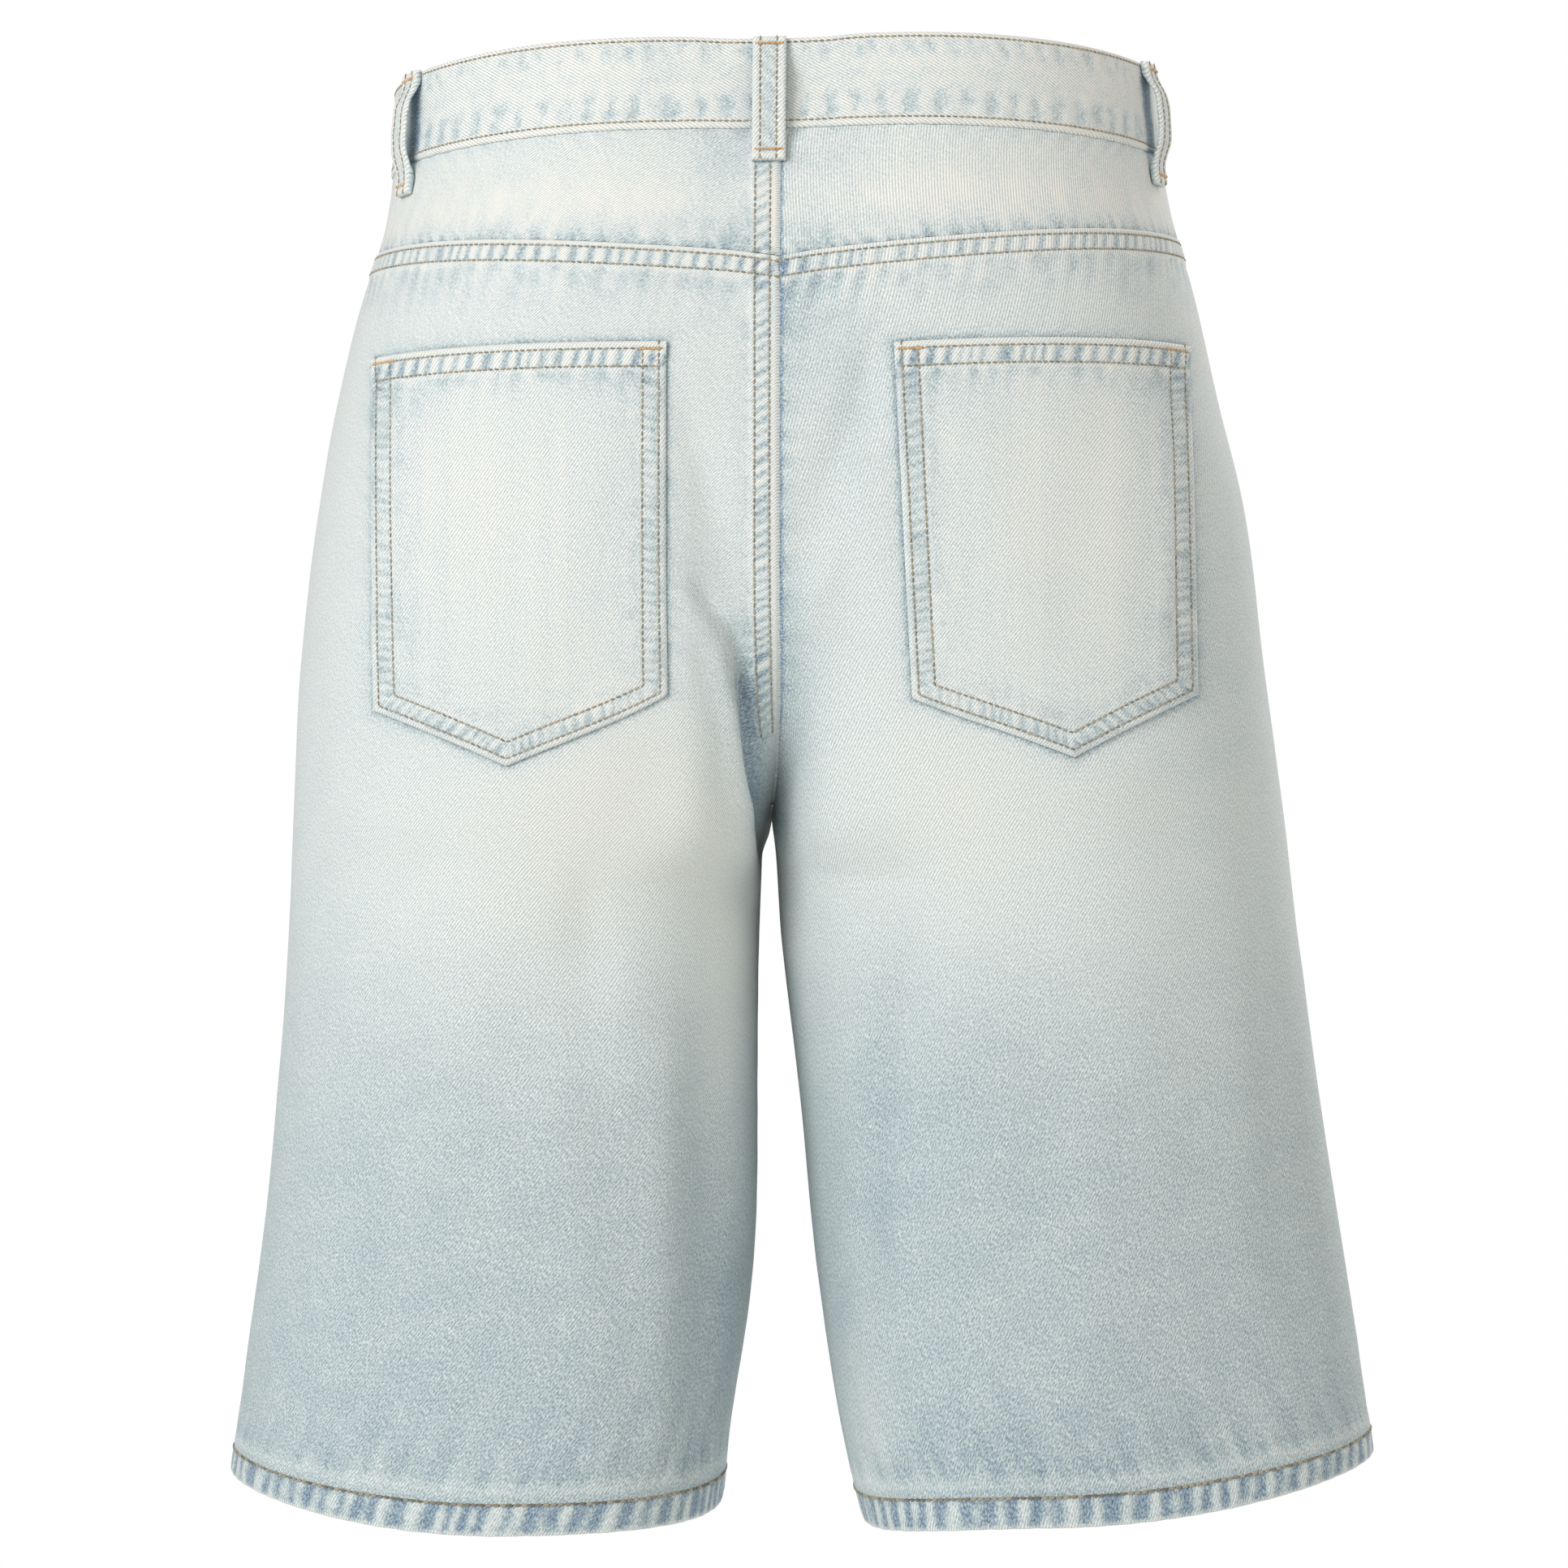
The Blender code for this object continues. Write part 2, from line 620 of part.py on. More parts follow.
# The belt loops. A strip folded under at both ends: level, underside and face above the cloth.
LOOP_WIDTH = 13.0
LOOP_PROFILE = (
    (0.3, 1.15, 4.0),
    (5.0, 1.15, 4.3),
    (8.5, 3.2, 5.4),
    (13.5, 6.4, 8.1),
    (19.0, 7.1, 8.8),
    (28.0, 7.1, 8.8),
    (34.5, 6.4, 8.1),
    (40.5, 3.4, 5.4),
    (44.0, 1.0, 4.0),
    (52.0, 0.5, 3.6),
)
# Each loop's name, side, face and distance from the centre plane.
LOOPS = (
    ("belt_loop_back", 1, False, 0.0),
    ("belt_loop_side_left", 1, False, 151.0),
    ("belt_loop_side_right", -1, False, 159.5),
    ("belt_loop_front_left", 1, True, 88.0),
    ("belt_loop_front_right", -1, True, 88.0),
)


def across_seam(side, front, run, level, lift):
    """Cloth points of a short strip that may pass over the centre seam to the other half."""
    seam = 1.0 if front else 0.0
    over = run > 1.0 if front else run < 0.0
    own = cloth(side, np.where(over, seam, run), level, lift)
    other = cloth(-side, np.where(over, 2 * seam - run, seam), level, lift)
    return np.where(over[..., None], other, own)


def build_belt_loops():
    """Five belt loops, sewn at the band's top edge and just below it, standing off between."""
    levels, unders, faces = (np.array(column, float) for column in zip(*LOOP_PROFILE))
    for name, side, front, away in LOOPS:
        middle = run_at(side, away, levels[:1], front)
        length = run_length(side, levels, front)
        half = LOOP_WIDTH / 2 / length / 2
        run = np.stack([middle - half, middle + 0 * half, middle + half], -1)
        level = np.tile(levels[:, None], (1, 3))
        lap = np.where((away < LOOP_WIDTH) & (levels > BAND_HEIGHT), LAP_PROUD, 0.0)
        face = across_seam(side, front, run, level, np.tile((faces + lap)[:, None], (1, 3)))
        under = across_seam(side, front, run, level, np.tile((unders + lap)[:, None], (1, 3)))
        wall(name, face, under, SHADED_DENIM)


# The fly, behind the centre front: places from the centre plane, positive to the left.
FLY_FOOT = 168.0
FLY_TOP = BAND_HEIGHT + 2 * BAND_GAP
FACING_WIDTH = 38.0
FACING_TURN = 130.0
FACING_SINK = CLOTH + 0.7
FACING_THICK = 0.9
TAPE_FOOT = 158.0
TAPE_THICK = 0.7
SHIELD_THICK = 1.6
SHIELD_FOOT = 172.0


def front_strip(name, edges, levels, sinks, thick, finish):
    """A strip behind the centre front; edges gives its places across for each level."""
    outer = []
    inner = []
    for level in levels:
        row = []
        back = []
        for place, sink in zip(edges(level), sinks):
            side = 1 if place > SEAT_AT["x"](level) else -1
            run = run_at(side, side * place, level, True)
            row.append(cloth(side, run, level, -sink))
            back.append(cloth(side, run, level, -sink - thick))
        outer.append(row)
        inner.append(back)
    wall(name, np.array(outer), np.array(inner), finish)


def build_fly():
    """The fly facing, the zip's tapes and the shield, one behind the other."""
    def facing_edges(level):
        past = max(0.0, (level - FACING_TURN) / (FLY_FOOT + 1 - FACING_TURN))
        width = FACING_WIDTH * math.sqrt(1 - past ** 2)
        return even(-3.5, -3.5 + width, 7)

    levels = even(FLY_TOP, FACING_TURN, 4) + even(FACING_TURN, FLY_FOOT, 5)[1:]
    front_strip("fly_facing", facing_edges, levels, [FACING_SINK] * 7, FACING_THICK, DENIM)
    tape_places = (-15.0, -9.0, -4.0, 1.0, 14.0)
    front_strip("zip_tape", lambda level: tape_places, even(FLY_TOP + 1, TAPE_FOOT, 5),
                (1.7, 2.8, 4.6, 5.3, 5.3), TAPE_THICK, TAPE)
    shield_places = (-14.0, -8.0, -2.0, 4.0, 20.0, 36.0)
    front_strip("fly_shield", lambda level: shield_places, even(FLY_TOP, SHIELD_FOOT, 6),
                (3.1, 4.4, 6.4, 6.7, 6.7, 6.7), SHIELD_THICK, DENIM)


SLIDER_SINK = 3.15
SLIDER_THICK = 1.8
SLIDER_PLACE = 5.0
# The slider's outline from its crown to the foot of its pull: level and half width.
SLIDER_OUTLINE = ((42.0, 3.4), (45.0, 4.2), (50.0, 4.0), (54.0, 2.6), (55.5, 1.8), (60.0, 2.2),
                  (74.0, 2.6), (76.0, 1.6))


def build_slider():
    """The zip's slider with its pull hanging down, closed at the top of the tapes."""
    halves = dict(SLIDER_OUTLINE)
    front_strip("zip_slider", lambda level: (SLIDER_PLACE - halves[level], SLIDER_PLACE + halves[level]),
                [level for level, _ in SLIDER_OUTLINE], (SLIDER_SINK, SLIDER_SINK), SLIDER_THICK, METAL)


BUTTON_PLACE = 9.0
BUTTON_SIDES = 24
# The button's section from its back to its crown: radius and height above the band.
BUTTON_SECTION = ((3.0, 0.35), (3.0, 1.4), (8.5, 1.7), (8.5, 2.6), (7.6, 3.3), (4.0, 3.7))


def build_button():
    """A plain domed shank button on the band's left end."""
    level = np.array([BAND_HEIGHT / 2] * 3)
    run = run_at(1, BUTTON_PLACE, level, True) + np.array([0, 0.004, 0])
    lift = np.array([BAND_PROUD, BAND_PROUD, BAND_PROUD + 1])
    centre, along, above = cloth(1, run, level, lift)
    normal = above - centre
    normal /= np.linalg.norm(normal)
    along = along - centre
    along -= normal * (along @ normal)
    along /= np.linalg.norm(along)
    across = np.cross(normal, along)
    shape = bmesh.new()
    rings = []
    for radius, height in BUTTON_SECTION:
        ring = []
        for i in range(BUTTON_SIDES):
            angle = 2 * math.pi * i / BUTTON_SIDES
            spoke = along * math.cos(angle) + across * math.sin(angle)
            ring.append(shape.verts.new(centre + (spoke * radius + normal * height) * MM))
        rings.append(ring)
    for low, high in zip(rings, rings[1:]):
        for i in range(BUTTON_SIDES):
            j = (i + 1) % BUTTON_SIDES
            shape.faces.new((low[i], low[j], high[j], high[i]))
    shape.faces.new(reversed(rings[0]))
    shape.faces.new(rings[-1])
    bmesh.ops.recalc_face_normals(shape, faces=shape.faces)
    mesh = bpy.data.meshes.new("waist_button")
    shape.to_mesh(mesh)
    shape.free()
    add_object("waist_button", mesh, METAL)


clear_scene()
build_leg_panels()
build_yokes()
build_waistband()
build_hems()
build_back_pockets()
build_pocket_bearers()
build_belt_loops()
build_fly()
build_slider()
build_button()
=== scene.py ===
"""Looks of a pair of washed, knee-length denim shorts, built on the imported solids.

Metres in the frame: +Z up, the front faces -Y, the wearer's left is +X. Sizes in the tables are
millimetres. A "drop" is a depth below the band's top edge at the side seams, a "level" names a
row of the cloth by its drop there, and a "run" goes from 0 at the centre back (or the inseam)
over 0.5 at the side seam to 1 at the centre front. A "side" is 1 for the left, -1 for the right.
"""
import math

import bmesh
import bpy
import numpy as np
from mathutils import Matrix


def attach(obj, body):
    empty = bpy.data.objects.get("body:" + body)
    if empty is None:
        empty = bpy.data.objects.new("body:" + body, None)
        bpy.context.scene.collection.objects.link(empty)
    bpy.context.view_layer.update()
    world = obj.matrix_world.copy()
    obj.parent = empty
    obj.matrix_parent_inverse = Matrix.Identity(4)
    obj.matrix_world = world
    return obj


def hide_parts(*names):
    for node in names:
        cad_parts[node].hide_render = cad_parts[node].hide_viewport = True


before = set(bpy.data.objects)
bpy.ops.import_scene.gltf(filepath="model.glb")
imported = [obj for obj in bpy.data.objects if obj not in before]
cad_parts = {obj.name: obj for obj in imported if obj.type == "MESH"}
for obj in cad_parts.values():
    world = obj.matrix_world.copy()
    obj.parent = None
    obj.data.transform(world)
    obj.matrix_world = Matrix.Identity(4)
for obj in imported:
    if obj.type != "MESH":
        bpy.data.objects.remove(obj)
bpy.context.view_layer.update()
scene = bpy.context.scene
scene.view_settings.view_transform = "Standard"
HAND = {1: "left", -1: "right"}

# ---------------------------------------------------------------------------------------------
# The view: a long lens straight at the seat, level with the middle of the garment.
YAW = math.radians(1.2)
DISTANCE = 2.3
ASIDE = 0.0039
EYE_LEVEL = -0.2847
LENS = 121.06
camera = bpy.data.objects.new("view", bpy.data.cameras.new("view"))
camera.data.sensor_width = 36.0
camera.data.lens = LENS
camera.location = (-DISTANCE * math.sin(YAW) - ASIDE * math.cos(YAW),
                   DISTANCE * math.cos(YAW) - ASIDE * math.sin(YAW), EYE_LEVEL)
camera.rotation_euler = (math.pi / 2, 0, math.pi + YAW)
scene.collection.objects.link(camera)
scene.camera = camera

# ---------------------------------------------------------------------------------------------
# The studio: a white sweep of light all round, a pale painted floor far below, one large soft
# lamp from the wearer's left, a weaker one from the right and a soft one for the front.
AIM = np.array((0, 0, -0.3))
FLOOR_LEVEL = -1.08


def linear(code):
    """An sRGB hex colour as linear red, green, blue and alpha."""
    parts = [int(code[i:i + 2], 16) / 255 for i in (1, 3, 5)]
    return tuple(p / 12.92 if p <= 0.04045 else ((p + 0.055) / 1.055) ** 2.4 for p in parts) + (1.0,)


def add(tree, kind, inputs=(), **settings):
    """Add a node; inputs pairs a socket's name or number with a value, a node or an output."""
    made = tree.nodes.new(kind)
    for name, value in settings.items():
        setattr(made, name, value)
    for key, value in dict(inputs).items():
        if isinstance(value, bpy.types.Node):
            value = value.outputs[0]
        if isinstance(value, bpy.types.NodeSocket):
            tree.links.new(value, made.inputs[key])
        else:
            made.inputs[key].default_value = value
    return made


def new_material(name):
    """An empty node material and its tree."""
    material = bpy.data.materials.new(name)
    material.use_nodes = True
    material.node_tree.nodes.clear()
    return material, material.node_tree


def surface(tree, colour, roughness, height, strength, more=(), depth=0.0001):
    """Finish a material with its colour, its roughness and a fine relief."""
    bump = add(tree, "ShaderNodeBump", {"Strength": strength, "Distance": depth, "Height": height})
    skin = add(tree, "ShaderNodeBsdfPrincipled",
               {"Base Color": colour, "Roughness": roughness, "Normal": bump, **dict(more)})
    add(tree, "ShaderNodeOutputMaterial", {"Surface": skin})


def link(name, mesh, material=None):
    """Link a mesh to the scene as a named object, with its material."""
    item = bpy.data.objects.new(name, mesh)
    scene.collection.objects.link(item)
    if material is not None:
        mesh.materials.clear()
        mesh.materials.append(material)
    return item


world = bpy.data.worlds.new("white studio")
world.use_nodes = True
sky = world.node_tree
sky.nodes.clear()
seen = add(sky, "ShaderNodeLightPath").outputs["Is Camera Ray"]
shade = add(sky, "ShaderNodeMapRange", {"Value": seen, 3: 0.58, 4: 1.0})
tint = add(sky, "ShaderNodeMix", {"Factor": seen, "A": linear("#FFFDFA"), "B": linear("#FFFFFF")},
           data_type="RGBA")
glow = add(sky, "ShaderNodeBackground", {"Color": tint.outputs["Result"], "Strength": shade})
add(sky, "ShaderNodeOutputWorld", {"Surface": glow})
scene.world = world

# name, place, width, power, colour
LAMPS = (
    ("key lamp", (1.65, 2.32, 0.8), 1.5, 51.0, "#FFFFFF"),
    ("fill lamp", (-2.3, 1.7, 0.4), 1.4, 9.0, "#FFECD6"),
    ("front lamp", (-1.4, -2.4, 1.0), 1.4, 36.0, "#FFFFFF"),
)
for name, place, width, power, colour in LAMPS:
    lamp = bpy.data.lights.new(name, "AREA")
    lamp.shape = "DISK"
    lamp.size = width
    lamp.energy = power
    lamp.color = linear(colour)[:3]
    item = link(name, lamp)
    way = AIM - np.array(place)
    item.location = place
    item.rotation_euler = (math.acos(-way[2] / np.linalg.norm(way)), 0, math.atan2(-way[0], way[1]))

paint, tree = new_material("pale matt floor paint")
surface(tree, linear("#EDEDEA"), 0.8, add(tree, "ShaderNodeTexNoise", {"Scale": 300.0}), 0.1, depth=0.0005)
disc = bmesh.new()
bmesh.ops.create_circle(disc, cap_ends=True, segments=96, radius=2.2)
bmesh.ops.translate(disc, verts=disc.verts, vec=(0, 0, FLOOR_LEVEL))
floor_mesh = bpy.data.meshes.new("floor")
disc.to_mesh(floor_mesh)
disc.free()
link("floor", floor_mesh, paint)

# ---------------------------------------------------------------------------------------------
# Back leg panels: one layer of washed cotton twill each, cut with the grain down the leg. Their
# folded top edges lap over the yokes and the left seat edge laps over the right, both sewn down
# with two rows. The garment's form is set out here, because the panels carry everything else.
BAND_HEIGHT = 38.0
BAND_RISE = 19.0
CLOTH = 1.2
SEAM_GAP = 0.3
HEM_HEIGHT = 14.0
CROTCH_LEVEL = 360.0
HEM_LEVEL = 598.5
PANEL_FOOT = HEM_LEVEL - HEM_HEIGHT + 2.8
CENTRE_GAP = 0.2
SIDE_TILT = 0.018
RIGHT_INSEAM_DROP = 8.0
INNER_ARC = 0.70

# Half widths at the side seams, left and right.
OUTLINE = {
    "level": (0, 20, 38, 64, 93, 121, 150, 178, 206, 250, 316, 372, 429, 486, 542, 598.5),
    "left": (164.5, 164.5, 166, 170, 179, 186, 192, 196.5, 200.5, 204.5, 208, 211, 215.5, 221.5, 229.5, 237),
    "right": (165.5, 167, 168.5, 173, 181, 187.5, 194, 201, 206, 211, 220, 226.5, 234, 243, 252, 260),
}
# The seat seam in the centre plane, down the back and up the front.
SEAT_SEAM = {
    "level": (0, 38, 85, 135, 185, 235, 275, 305, 328, 346, 360),
    "back_drop": (-5, 33, 81, 130, 177, 221, 250, 275, 294, 307.5, 315),
    "back_y": (118, 124, 139, 147, 149, 144, 133, 113, 86, 52, 0),
    "front_drop": (12, 49, 92, 138, 182, 222, 250, 273, 291.5, 306.5, 315),
    "front_y": (-112, -117, -121, -122, -121, -117, -108, -95, -76, -46, 0),
    "x": (-4.5, -4.5, -4.5, -4.5, -4.5, -4.5, -4.5, -4.0, -2.8, -1.0, 1.5),
}
# The inseams: the drop and the distance from the centre plane on each leg.
INSEAM = {
    "level": (360, 367, 378, 400, 430, 460, 500, 540, 575, 598.5),
    "drop": (315, 323, 336, 364, 403, 440, 488, 538, 585, 615.5),
    "left": (1.7, 4.6, 5.9, 6.9, 7.6, 7.8, 8.2, 12.5, 20.0, 23.5),
    "right": (-1.3, -0.2, 0.9, 2.6, 7.0, 11.5, 16.0, 22.5, 31.0, 39.0),
}
# The fullest lines of back and front, and how a section turns to its seam.
FULLNESS = {
    "level": (0, 38, 85, 135, 185, 235, 275, 305, 328, 346, 360, 400, 450, 500, 550, 598.5),
    "back_x": (55, 48, 47, 52, 60, 70, 80, 88, 94, 98, 101, 105, 108, 109, 109, 108),
    "back_y": (118.5, 125, 140, 149, 152.5, 152, 149, 146, 143, 140, 138, 131, 122, 114, 107, 102),
    "back_drop": (-6.5, 32.5, 81.5, 131, 180, 229, 265, 293, 315, 332, 346, 388, 443, 500, 557, 616),
    "front_x": (35, 38, 42, 48, 56, 66, 76, 85, 91, 95, 98, 104, 110, 116, 121, 125),
    "front_y": (-112.5, -118, -123, -126, -127, -126, -125, -124, -122, -121, -120, -118, -115, -112, -109, -106),
    "front_drop": (12, 49, 92, 138, 184, 230, 266, 293, 315, 332, 346, 388, 442, 497, 552, 608),
    "side_y": (2, 2, 3, 5, 6, 6, 6, 5, 5, 4, 4, 3, 2, 0, -1, -2),
    "turn": (0, 0, 0, 0, 3, 14, 36, 58, 72, 82, 90, 90, 90, 90, 90, 90),
    "dip": (0, 0, 0, 0, 0, 0, 4, 10, 18, 26, 30, 22, 14, 7, 2, 0),
    "fill": (0.57, 0.58, 0.62, 0.64, 0.65, 0.64, 0.63, 0.62, 0.61, 0.6, 0.6, 0.59, 0.58, 0.57, 0.56, 0.55),
}


def spline(knots, values):
    """A smooth curve through a table's rows: a natural cubic spline."""
    x = np.array(knots, dtype=float)
    y = np.array(values, dtype=float)
    step = np.diff(x)
    rows = len(x)
    matrix = np.eye(rows)
    right = np.zeros(rows)
    for i in range(1, rows - 1):
        matrix[i, i - 1:i + 2] = step[i - 1], 2 * (step[i - 1] + step[i]), step[i]
        right[i] = 6 * ((y[i + 1] - y[i]) / step[i] - (y[i] - y[i - 1]) / step[i - 1])
    bend = np.linalg.solve(matrix, right)

    def at(q):
        q = np.clip(q, x[0], x[-1])
        i = np.clip(np.searchsorted(x, q) - 1, 0, rows - 2)
        a = (x[i + 1] - q) / step[i]
        b = (q - x[i]) / step[i]
        curve = (a ** 3 - a) * bend[i] + (b ** 3 - b) * bend[i + 1]
        return a * y[i] + b * y[i + 1] + curve * step[i] ** 2 / 6

    return at


OUTLINE_AT, SEAT_AT, INSEAM_AT, FULL_AT = (
    {name: spline(table["level"], table[name]) for name in table if name != "level"}
    for table in (OUTLINE, SEAT_SEAM, INSEAM, FULLNESS))


def xyz(*parts):
    """Coordinates as points."""
    return np.stack(parts, -1)


def section(side, level, front):
    """The two arcs of a section, from its seam over the fullest line to the side seam."""
    hand = HAND[side]
    face = "front_" if front else "back_"
    seat = level < CROTCH_LEVEL
    slant = np.clip((level - CROTCH_LEVEL) / (HEM_LEVEL - CROTCH_LEVEL), 0, 1)
    slant = slant * (RIGHT_INSEAM_DROP if side < 0 else 0.0)
    width = OUTLINE_AT[hand](level)
    full_x = FULL_AT[face + "x"](level) * (width / OUTLINE_AT["left"](level))
    full_y = FULL_AT[face + "y"](level)
    full_drop = FULL_AT[face + "drop"](level)
    seam_x = np.where(seat, side * SEAT_AT["x"](level) + CENTRE_GAP, INSEAM_AT[hand](level))
    seam_y = np.where(seat, SEAT_AT[face + "y"](level), 0.0)
    seam_drop = np.where(seat, SEAT_AT[face + "drop"](level), INSEAM_AT["drop"](level) + slant)
    side_y = FULL_AT["side_y"](level)
    turn = np.radians(np.clip(FULL_AT["turn"](level), 0, 90))
    dip = np.clip(FULL_AT["dip"](level), 0, None)
    fill = FULL_AT["fill"](level)
    reach_x = full_x - seam_x
    reach_y = full_y - seam_y
    full = xyz(full_x, full_y, full_drop)
    inner = (xyz(seam_x, seam_y, seam_drop),
             xyz(seam_x + INNER_ARC * np.cos(turn) * reach_x,
                 seam_y + INNER_ARC * np.sin(turn) * reach_y, seam_drop + dip),
             xyz(full_x - INNER_ARC * reach_x, full_y, full_drop), full)
    outer = (full, xyz(full_x + fill * (width - full_x), full_y, full_drop),
             xyz(width, side_y + fill * (full_y - side_y), level), xyz(width, side_y, level))
    return inner, outer


def bezier(controls, u):
    """Points on cubic arcs, one parameter for each."""
    u = u[..., None]
    v = 1 - u
    a, b, c, d = controls
    return v ** 3 * a + 3 * v ** 2 * u * b + 3 * v * u ** 2 * c + u ** 3 * d


ARC_STEPS = 12


def half_points(side, share, level, front):
    """Points at an even share of the cloth between the seam (0) and the side seam (1)."""
    inner, outer = section(side, level, front)
    path = np.stack([bezier(arc, np.full(level.shape, tick))
                     for arc in (inner, outer) for tick in np.linspace(0, 1, ARC_STEPS + 1)], -2)
    length = np.linalg.norm(np.diff(path, axis=-2), axis=-1)
    along = np.concatenate([np.zeros(level.shape + (1,)), np.cumsum(length, axis=-1)], -1)
    goal = share * along[..., -1]
    place = np.clip(np.sum(along <= goal[..., None], axis=-1) - 1, 0, along.shape[-1] - 2)
    start, stop = (np.take_along_axis(along, place[..., None] + k, -1)[..., 0] for k in (0, 1))
    at = place + (goal - start) / np.maximum(stop - start, 1e-9)
    on_inner = bezier(inner, np.clip(at / ARC_STEPS, 0, 1))
    on_outer = bezier(outer, np.clip((at - ARC_STEPS - 1) / ARC_STEPS, 0, 1))
    return np.where((at >= ARC_STEPS + 1)[..., None], on_outer, on_inner), along[..., -1]


def base(side, run, level):
    """Points on the plain form of one half, in (x, y, drop) with x away from the centre."""
    run = np.where(level >= CROTCH_LEVEL, run % 1.0, np.clip(run, 0, 1))
    points = np.zeros(run.shape + (3,))
    for front in (False, True):
        here = (run > 0.5) == front
        if here.any():
            share = np.clip(2 - 2 * run[here] if front else 2 * run[here], 0, 1)
            points[here] = half_points(side, share, level[here], front)[0]
    return points


def run_length(side, level, front):
    """Cloth length of half a section, from its seam to the side seam."""
    level = np.asarray(level, float)
    return half_points(side, np.ones(level.shape), level, front)[1]


def both_lengths(side, level):
    """Cloth lengths of one hand's back and front."""
    return [run_length(side, level, front) for front in (False, True)]


def smooth_step(value):
    """0 below 0, 1 above 1, and a soft rise between."""
    value = np.clip(value, 0, 1)
    return value * value * (3 - 2 * value)


def bell(value, wide):
    """1 at 0 and a soft fall to both sides."""
    return np.exp(-(value / wide) ** 2)


def fading(value, reach):
    """1 up to 0 and a fall beyond."""
    return np.exp(-np.clip(value, 0, None) / reach)


# Folds: soft ridges (+) and troughs (-) along lines, by hand and face: x and drop of the start,
# x and drop of the end, half width, depth. These are the large ones of the solids.
FOLDS = {
    "left back": ((27, 235, 30, 330, 12, 2.5), (33, 150, 12, 235, 11, -2.0), (40, 290, 100, 420, 26, -3.0),
                  (60, 380, 75, 600, 24, 3.0), (150, 330, 160, 600, 26, -2.5), (180, 230, 190, 560, 18, 1.5)),
    "right back": ((24, 210, 22, 330, 12, 2.5), (45, 128, 20, 200, 11, -2.2), (48, 330, 66, 460, 18, -3.5),
                   (84, 400, 110, 600, 26, 2.5), (170, 300, 190, 600, 26, -2.5)),
    "left front": ((30, 212, 86, 250, 14, 2.5), (34, 240, 110, 300, 14, -2.5), (70, 330, 90, 600, 26, 3.0),
                   (150, 300, 165, 600, 26, -2.5)),
    "right front": ((28, 216, 84, 262, 14, 2.5), (36, 246, 118, 312, 15, -2.5),
                    (84, 340, 104, 600, 28, 3.0), (168, 300, 186, 600, 26, -2.5)),
}
# The finer creases, in the same columns.
CREASES = {
    "left back": (
        (28, 222, 13, 244, 4, -2.8), (13, 242, 10, 268, 3.4, -4.6), (10, 264, 8, 294, 3.2, -5.2),
        (8, 294, 4.5, 314, 3.0, -4.6), (4.5, 314, 4, 340, 2.4, -3.2), (36, 225, 21, 248, 6, 1.6),
        (21, 248, 16.5, 272, 5, 2.6), (16.5, 270, 14, 294, 4.5, 3.4), (14, 294, 10, 316, 4.5, 3.4),
        (10, 316, 10, 352, 4.5, 2.6), (34, 146, 20, 196, 6, -0.9), (15, 350, 15, 500, 8, 2.6),
        (74, 338, 66, 520, 10, -1.3), (92, 350, 88, 470, 12, 0.9), (46, 205, 34, 262, 6, 1.4),
        (120, 420, 124, 590, 15, -1.0), (186, 330, 182, 470, 9, -1.2), (198, 250, 199, 360, 7, 0.8),
        (25, 420, 28, 590, 10, -3.0), (43, 400, 47, 585, 10, 2.4), (205, 420, 214, 585, 9, 0.9)),
    "right back": (
        (44, 124, 26, 180, 6, -1.1), (30, 205, 14, 245, 5, 0.8), (16, 236, 9, 300, 5, -1.0),
        (56, 372, 40, 505, 7, -2.0), (69, 398, 70, 492, 9, 1.2), (100, 470, 106, 590, 12, -1.1),
        (131, 430, 134, 560, 13, 0.9), (206, 300, 216, 520, 9, -1.2), (226, 380, 240, 590, 9, 0.9)),
    "left front": (
        (44, 128, 92, 104, 9, -0.9), (30, 250, 64, 276, 7, 1.0), (20, 262, 48, 318, 7, -1.2),
        (110, 400, 116, 580, 14, -1.1), (182, 320, 186, 480, 10, 0.9), (40, 420, 44, 585, 11, -1.0)),
    "right front": (
        (48, 132, 98, 112, 9, -0.9), (24, 248, 60, 284, 7, 1.0), (22, 270, 52, 330, 7, -1.2),
        (120, 410, 130, 590, 14, -1.1), (196, 330, 204, 500, 10, 0.9), (50, 430, 58, 590, 11, -1.0)),
}
FOLD_END = 30.0
FOLD_FADE = 35.0


def rows_of(side, points, table, fade):
    """A side's rows of a table by hand and face, each with how far the points face its way."""
    for face, facing in (("back", points[..., 1]), ("front", -points[..., 1])):
        here = smooth_step(facing / fade)
        for row in table.get(f"{HAND[side]} {face}", ()):
            yield row, here


def fold_height(side, points, folds):
    """How far a table of folds lifts the cloth at points of the plain form."""
    height = np.zeros(points.shape[:-1])
    for (x0, drop0, x1, drop1, wide, deep), here in rows_of(side, points, folds, FOLD_FADE):
        line = np.array([x1 - x0, drop1 - drop0], dtype=float)
        length = np.hypot(*line)
        line = line / length
        end = min(FOLD_END, 0.6 * length)
        offset = points[..., [0, 2]] - np.array([x0, drop0], dtype=float)
        along = offset @ line
        across = offset @ np.array([-line[1], line[0]])
        ends = smooth_step(along / end + 0.5) * smooth_step((length - along) / end + 0.5)
        height += deep * bell(across, wide) * ends * here
    return height


RUN_STEP = 0.002
LEVEL_STEP = 0.8


